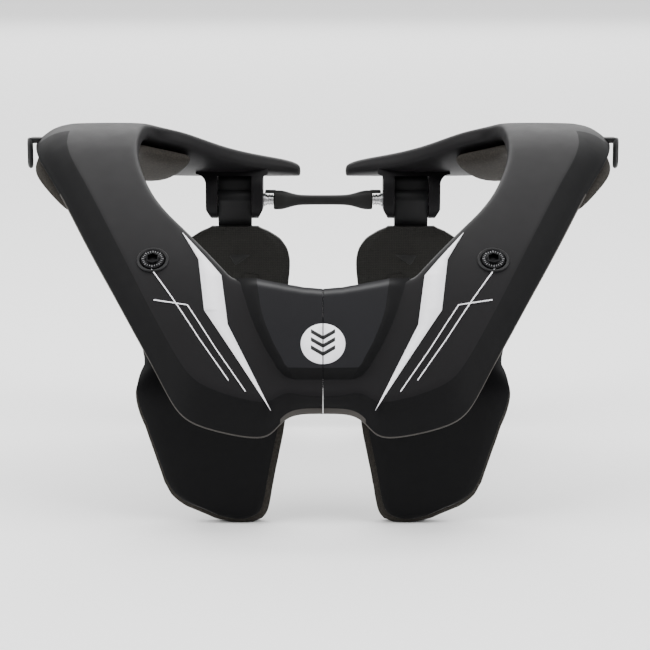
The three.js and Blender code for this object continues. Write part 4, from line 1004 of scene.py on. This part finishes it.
def shoulder_foam():
    rings = []
    for place in range(SHOULDER_ROWS[0][0], SHOULDER_ROWS[-1][0] + 1):
        sec = section(place)
        inner, outer, reach = (straight(SHOULDER_ROWS, place, column) for column in (1, 2, 3))
        ring = []
        for across, down in SHOULDER_RING:
            depth = lerp(inner, outer, across) * SHOULDER_PAD_THICKNESS
            share = across * reach if across > 0.9 else across
            ring.append(section_point(sec, sec["width"] * share, -PLATE_THICKNESS - 0.7 - depth * down))
        rings.append(ring)
    return loft(rings)


def make_shoulder_pads():
    for name, flip in sides():
        pad = subdivided(raw_object(f"shoulder_foam_{name}", flip(shoulder_foam())), 2)
        finished(pad, FOAM, "frame", [f"shoulder_pad_{name}"])


# Strap loops

LOOP_WIDTH, LOOP_HEIGHT, LOOP_CORNER = 14, 17, 3.4
LOOP_WIRE = 1.3  # half as thick as the wire
LOOP_TURN = math.radians(12)
LOOP_STAND_OFF = 3.2  # how far outside the shoulder's edge it hangs
LOOP_SECTION = section(24.8)
LOOP_SEAT = section_point(LOOP_SECTION, LOOP_SECTION["width"], 0.4 - BEVEL_DROP)


def strap_loop():
    """A ring of rounded wire, and the tab it hangs from."""
    width, height = LOOP_WIDTH - 2 * LOOP_WIRE, LOOP_HEIGHT - 2 * LOOP_WIRE
    turn = Matrix.Rotation(LOOP_TURN, 3, "Z")
    centre = LOOP_SEAT + Vector((-LOOP_STAND_OFF, 0, -height / 2))
    rings = []
    for quarter, (cy, cz) in enumerate([(1, 1), (-1, 1), (-1, -1), (1, -1)]):
        middle = Vector((0, cy * (width / 2 - LOOP_CORNER), cz * (height / 2 - LOOP_CORNER)))
        for step in range(7):
            angle = (quarter + step / 6) * math.pi / 2
            outward = Vector((0, math.cos(angle), math.sin(angle)))
            path = middle + outward * LOOP_CORNER
            wire = [outward * LOOP_WIRE * math.cos(t) + Vector((1, 0, 0)) * LOOP_WIRE * math.sin(t)
                    for t in (k * math.tau / 14 for k in range(14))]
            rings.append([centre + turn @ (path + spoke) for spoke in wire])
    ring = loft(rings, joined=True)
    low, high = Vector((-LOOP_STAND_OFF, -4.5, -1.5)), Vector((8, 4.5, 1.5))
    return merged(ring, soften(block(LOOP_SEAT + low, LOOP_SEAT + high), 0.9))


def make_strap_loops():
    for name, flip in sides():
        ring = raw_object(f"strap_ring_{name}", flip(strap_loop()))
        finished(ring, BLACK_PLASTIC, "frame", [f"strap_loop_{name}"])


# Printed stripes

PRINT_STEP = 2.5  # how often a print is divided, so that it follows the bend


def laid_on(outline, height, base=-0.4):
    """A thin print on the arch from base to height, from an outline of (out, along) points."""
    bm = bmesh.new()
    bm.faces.new([bm.verts.new((x, y, 0)) for x, y in outline])
    alongs = [y for _, y in outline]
    line = min(alongs) + PRINT_STEP
    while line < max(alongs):
        whole = list(bm.verts) + list(bm.edges) + list(bm.faces)
        bmesh.ops.bisect_plane(bm, geom=whole, plane_co=(0, line, 0), plane_no=(0, 1, 0))
        line += PRINT_STEP
    made = bmesh.ops.extrude_face_region(bm, geom=list(bm.faces), use_keep_orig=True)["geom"]
    upper = {item for item in made if isinstance(item, bmesh.types.BMVert)}
    for vert in bm.verts:
        vert.co = arch_point(vert.co.x, vert.co.y, height if vert in upper else base)
    bmesh.ops.recalc_face_normals(bm, faces=bm.faces)
    return bm


# Corners of the broad blade, out and along, from its upper tip round
BLADE = [(72.5, 121), (51.5, 91), (47.5, 61.5), (25.5, 15), (59.5, 70), (63.5, 102)]
PINSTRIPES = [[(87, 95), (75, 76), (61, 53), (46.5, 31)], [(85, 76), (68, 73), (53, 48), (38, 25)]]
PINSTRIPE_WIDTH = 0.48
STRIPE_HEIGHT = 0.3


def band(points, width):
    """Outline of a line of a given width through a few points."""
    near, far = [], []
    for k, (x, y) in enumerate(points):
        before, after = Vector(points[max(k - 1, 0)]), Vector(points[min(k + 1, len(points) - 1)])
        way = (after - before).normalized() * width / 2
        near.append((x - way.y, y + way.x))
        far.append((x + way.y, y - way.x))
    return near + far[::-1]


def make_stripes():
    for name, flip in sides():
        outlines = [BLADE] + [band(points, PINSTRIPE_WIDTH) for points in PINSTRIPES]
        prints = merged(*(laid_on(outline, STRIPE_HEIGHT) for outline in outlines))
        stripes = raw_object(f"printed_stripes_{name}", flip(prints))
        finished(stripes, INK, "frame", smooth=None)


BADGE_ALONG = 48.5
BADGE_RADIUS = 11
BADGE_GAP = 0.28  # each side of the seam
CHEVRON_HALF_WIDTH = 6
CHEVRON_DEPTH = 2.2
CHEVRON_SHIFTS = (-6.6, -2.2, 2.2)  # along the panel from the disc's middle


def chevron(along):
    """Half of a plain chevron pointing down the panel, on one side of the seam."""
    fall = CHEVRON_HALF_WIDTH * 0.6
    return [(BADGE_GAP, along), (CHEVRON_HALF_WIDTH, along + fall),
            (CHEVRON_HALF_WIDTH, along + fall + CHEVRON_DEPTH), (BADGE_GAP, along + CHEVRON_DEPTH)]


def make_badges():
    """A white disc with three plain chevrons on the centre panel, half on each side of the seam."""
    turns = [-math.pi / 2 + k * math.pi / 32 for k in range(33)]
    outline = [(max(BADGE_RADIUS * math.cos(turn), BADGE_GAP), BADGE_ALONG + BADGE_RADIUS * math.sin(turn))
               for turn in turns]
    level = PANEL_RAISE + 0.15
    for name, flip in sides():
        disc = laid_on(outline, level, base=PANEL_RAISE - 0.5)
        finished(raw_object(f"badge_disc_{name}", flip(disc)), INK, "frame", smooth=None)
        marks = merged(*(laid_on(chevron(BADGE_ALONG + shift), level + 0.08, base=level - 0.3)
                         for shift in CHEVRON_SHIFTS))
        chevrons = raw_object(f"badge_chevrons_{name}", flip(marks))
        finished(chevrons, DARK_INK, "frame", smooth=None)


make_stripes()
make_badges()
make_halves()
make_fasteners()
flex_bar()
make_back_supports()
make_chest_supports()
make_shoulder_pads()
make_strap_loops()
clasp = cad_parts["front_clasp"]
clasp.data.materials.clear()
clasp.data.materials.append(BLACK_PLASTIC)

# Floor, lights and camera

def matt_emulsion(name, colour):
    """Matt emulsion paint: flat, pale and without gloss."""
    settings = {"Base Color": linear(colour), "Roughness": 0.9, "Specular IOR Level": 0.1}
    return new_material(name, settings)[0]


FLOOR_HALF_SIZE = 60000
floor_bm = bmesh.new()
bmesh.ops.create_grid(floor_bm, x_segments=1, y_segments=1, size=FLOOR_HALF_SIZE)
floor = raw_object("studio_floor", floor_bm)
floor.data.materials.append(matt_emulsion("matt_emulsion_pale", "f4f4f4"))

world = bpy.data.worlds.new("studio")
bpy.context.scene.world = world
world.use_nodes = True
background = world.node_tree.nodes["Background"]
background.inputs["Color"].default_value = (1, 1, 1, 1)
background.inputs["Strength"].default_value = 0.2


def soft_light(name, place, target, size, power):
    data = bpy.data.lights.new(name, "AREA")
    data.shape = "RECTANGLE"
    data.size, data.size_y = size
    data.energy = power
    light = bpy.data.objects.new(name, data)
    light.location = place
    light.rotation_euler = (Vector(target) - Vector(place)).to_track_quat("-Z", "Y").to_euler()
    bpy.context.scene.collection.objects.link(light)


# Side panels light the floor without showing in the shell, the far one draws the shell's ridges, the
# backdrop one keeps the distance pale, and soft boxes overhead and in front give a faint sheen
soft_light("side_panel_left", (-4.5, -1.8, 3.2), (0, 0.3, 0), (4, 4), 380)
soft_light("side_panel_right", (4.5, -1.8, 3.2), (0, 0.3, 0), (4, 4), 380)
soft_light("far_panel", (0, 6, 5), (0, 4.5, 0), (12, 8), 1000)
soft_light("backdrop_panel", (0, 18, 8), (0, 17, 0), (30, 16), 3200)
soft_light("overhead", (0, 0.15, 1.3), (0, 0, 0.1), (1.2, 0.8), 8.5)
soft_light("front_high", (0, -0.75, 1.45), (0, 0, 0.1), (1.6, 0.8), 9)

CAMERA_TARGET = Vector((0, 4.6, 82)) * MM
CAMERA_DISTANCE = 1.1
CAMERA_ELEVATION = math.radians(10)
IMAGE_WIDTH = 650
FOCAL_PIXELS = 1982
SENSOR_WIDTH = 36
camera_data = bpy.data.cameras.new("camera")
camera_data.lens = FOCAL_PIXELS / IMAGE_WIDTH * SENSOR_WIDTH
camera_data.sensor_width = SENSOR_WIDTH
camera_data.shift_x = 2 / IMAGE_WIDTH
camera = bpy.data.objects.new("camera", camera_data)
camera_way = Vector((0, -math.cos(CAMERA_ELEVATION), math.sin(CAMERA_ELEVATION)))
camera.location = CAMERA_TARGET + camera_way * CAMERA_DISTANCE
camera.rotation_euler = (CAMERA_TARGET - camera.location).to_track_quat("-Z", "Y").to_euler()
bpy.context.scene.collection.objects.link(camera)
bpy.context.scene.camera = camera
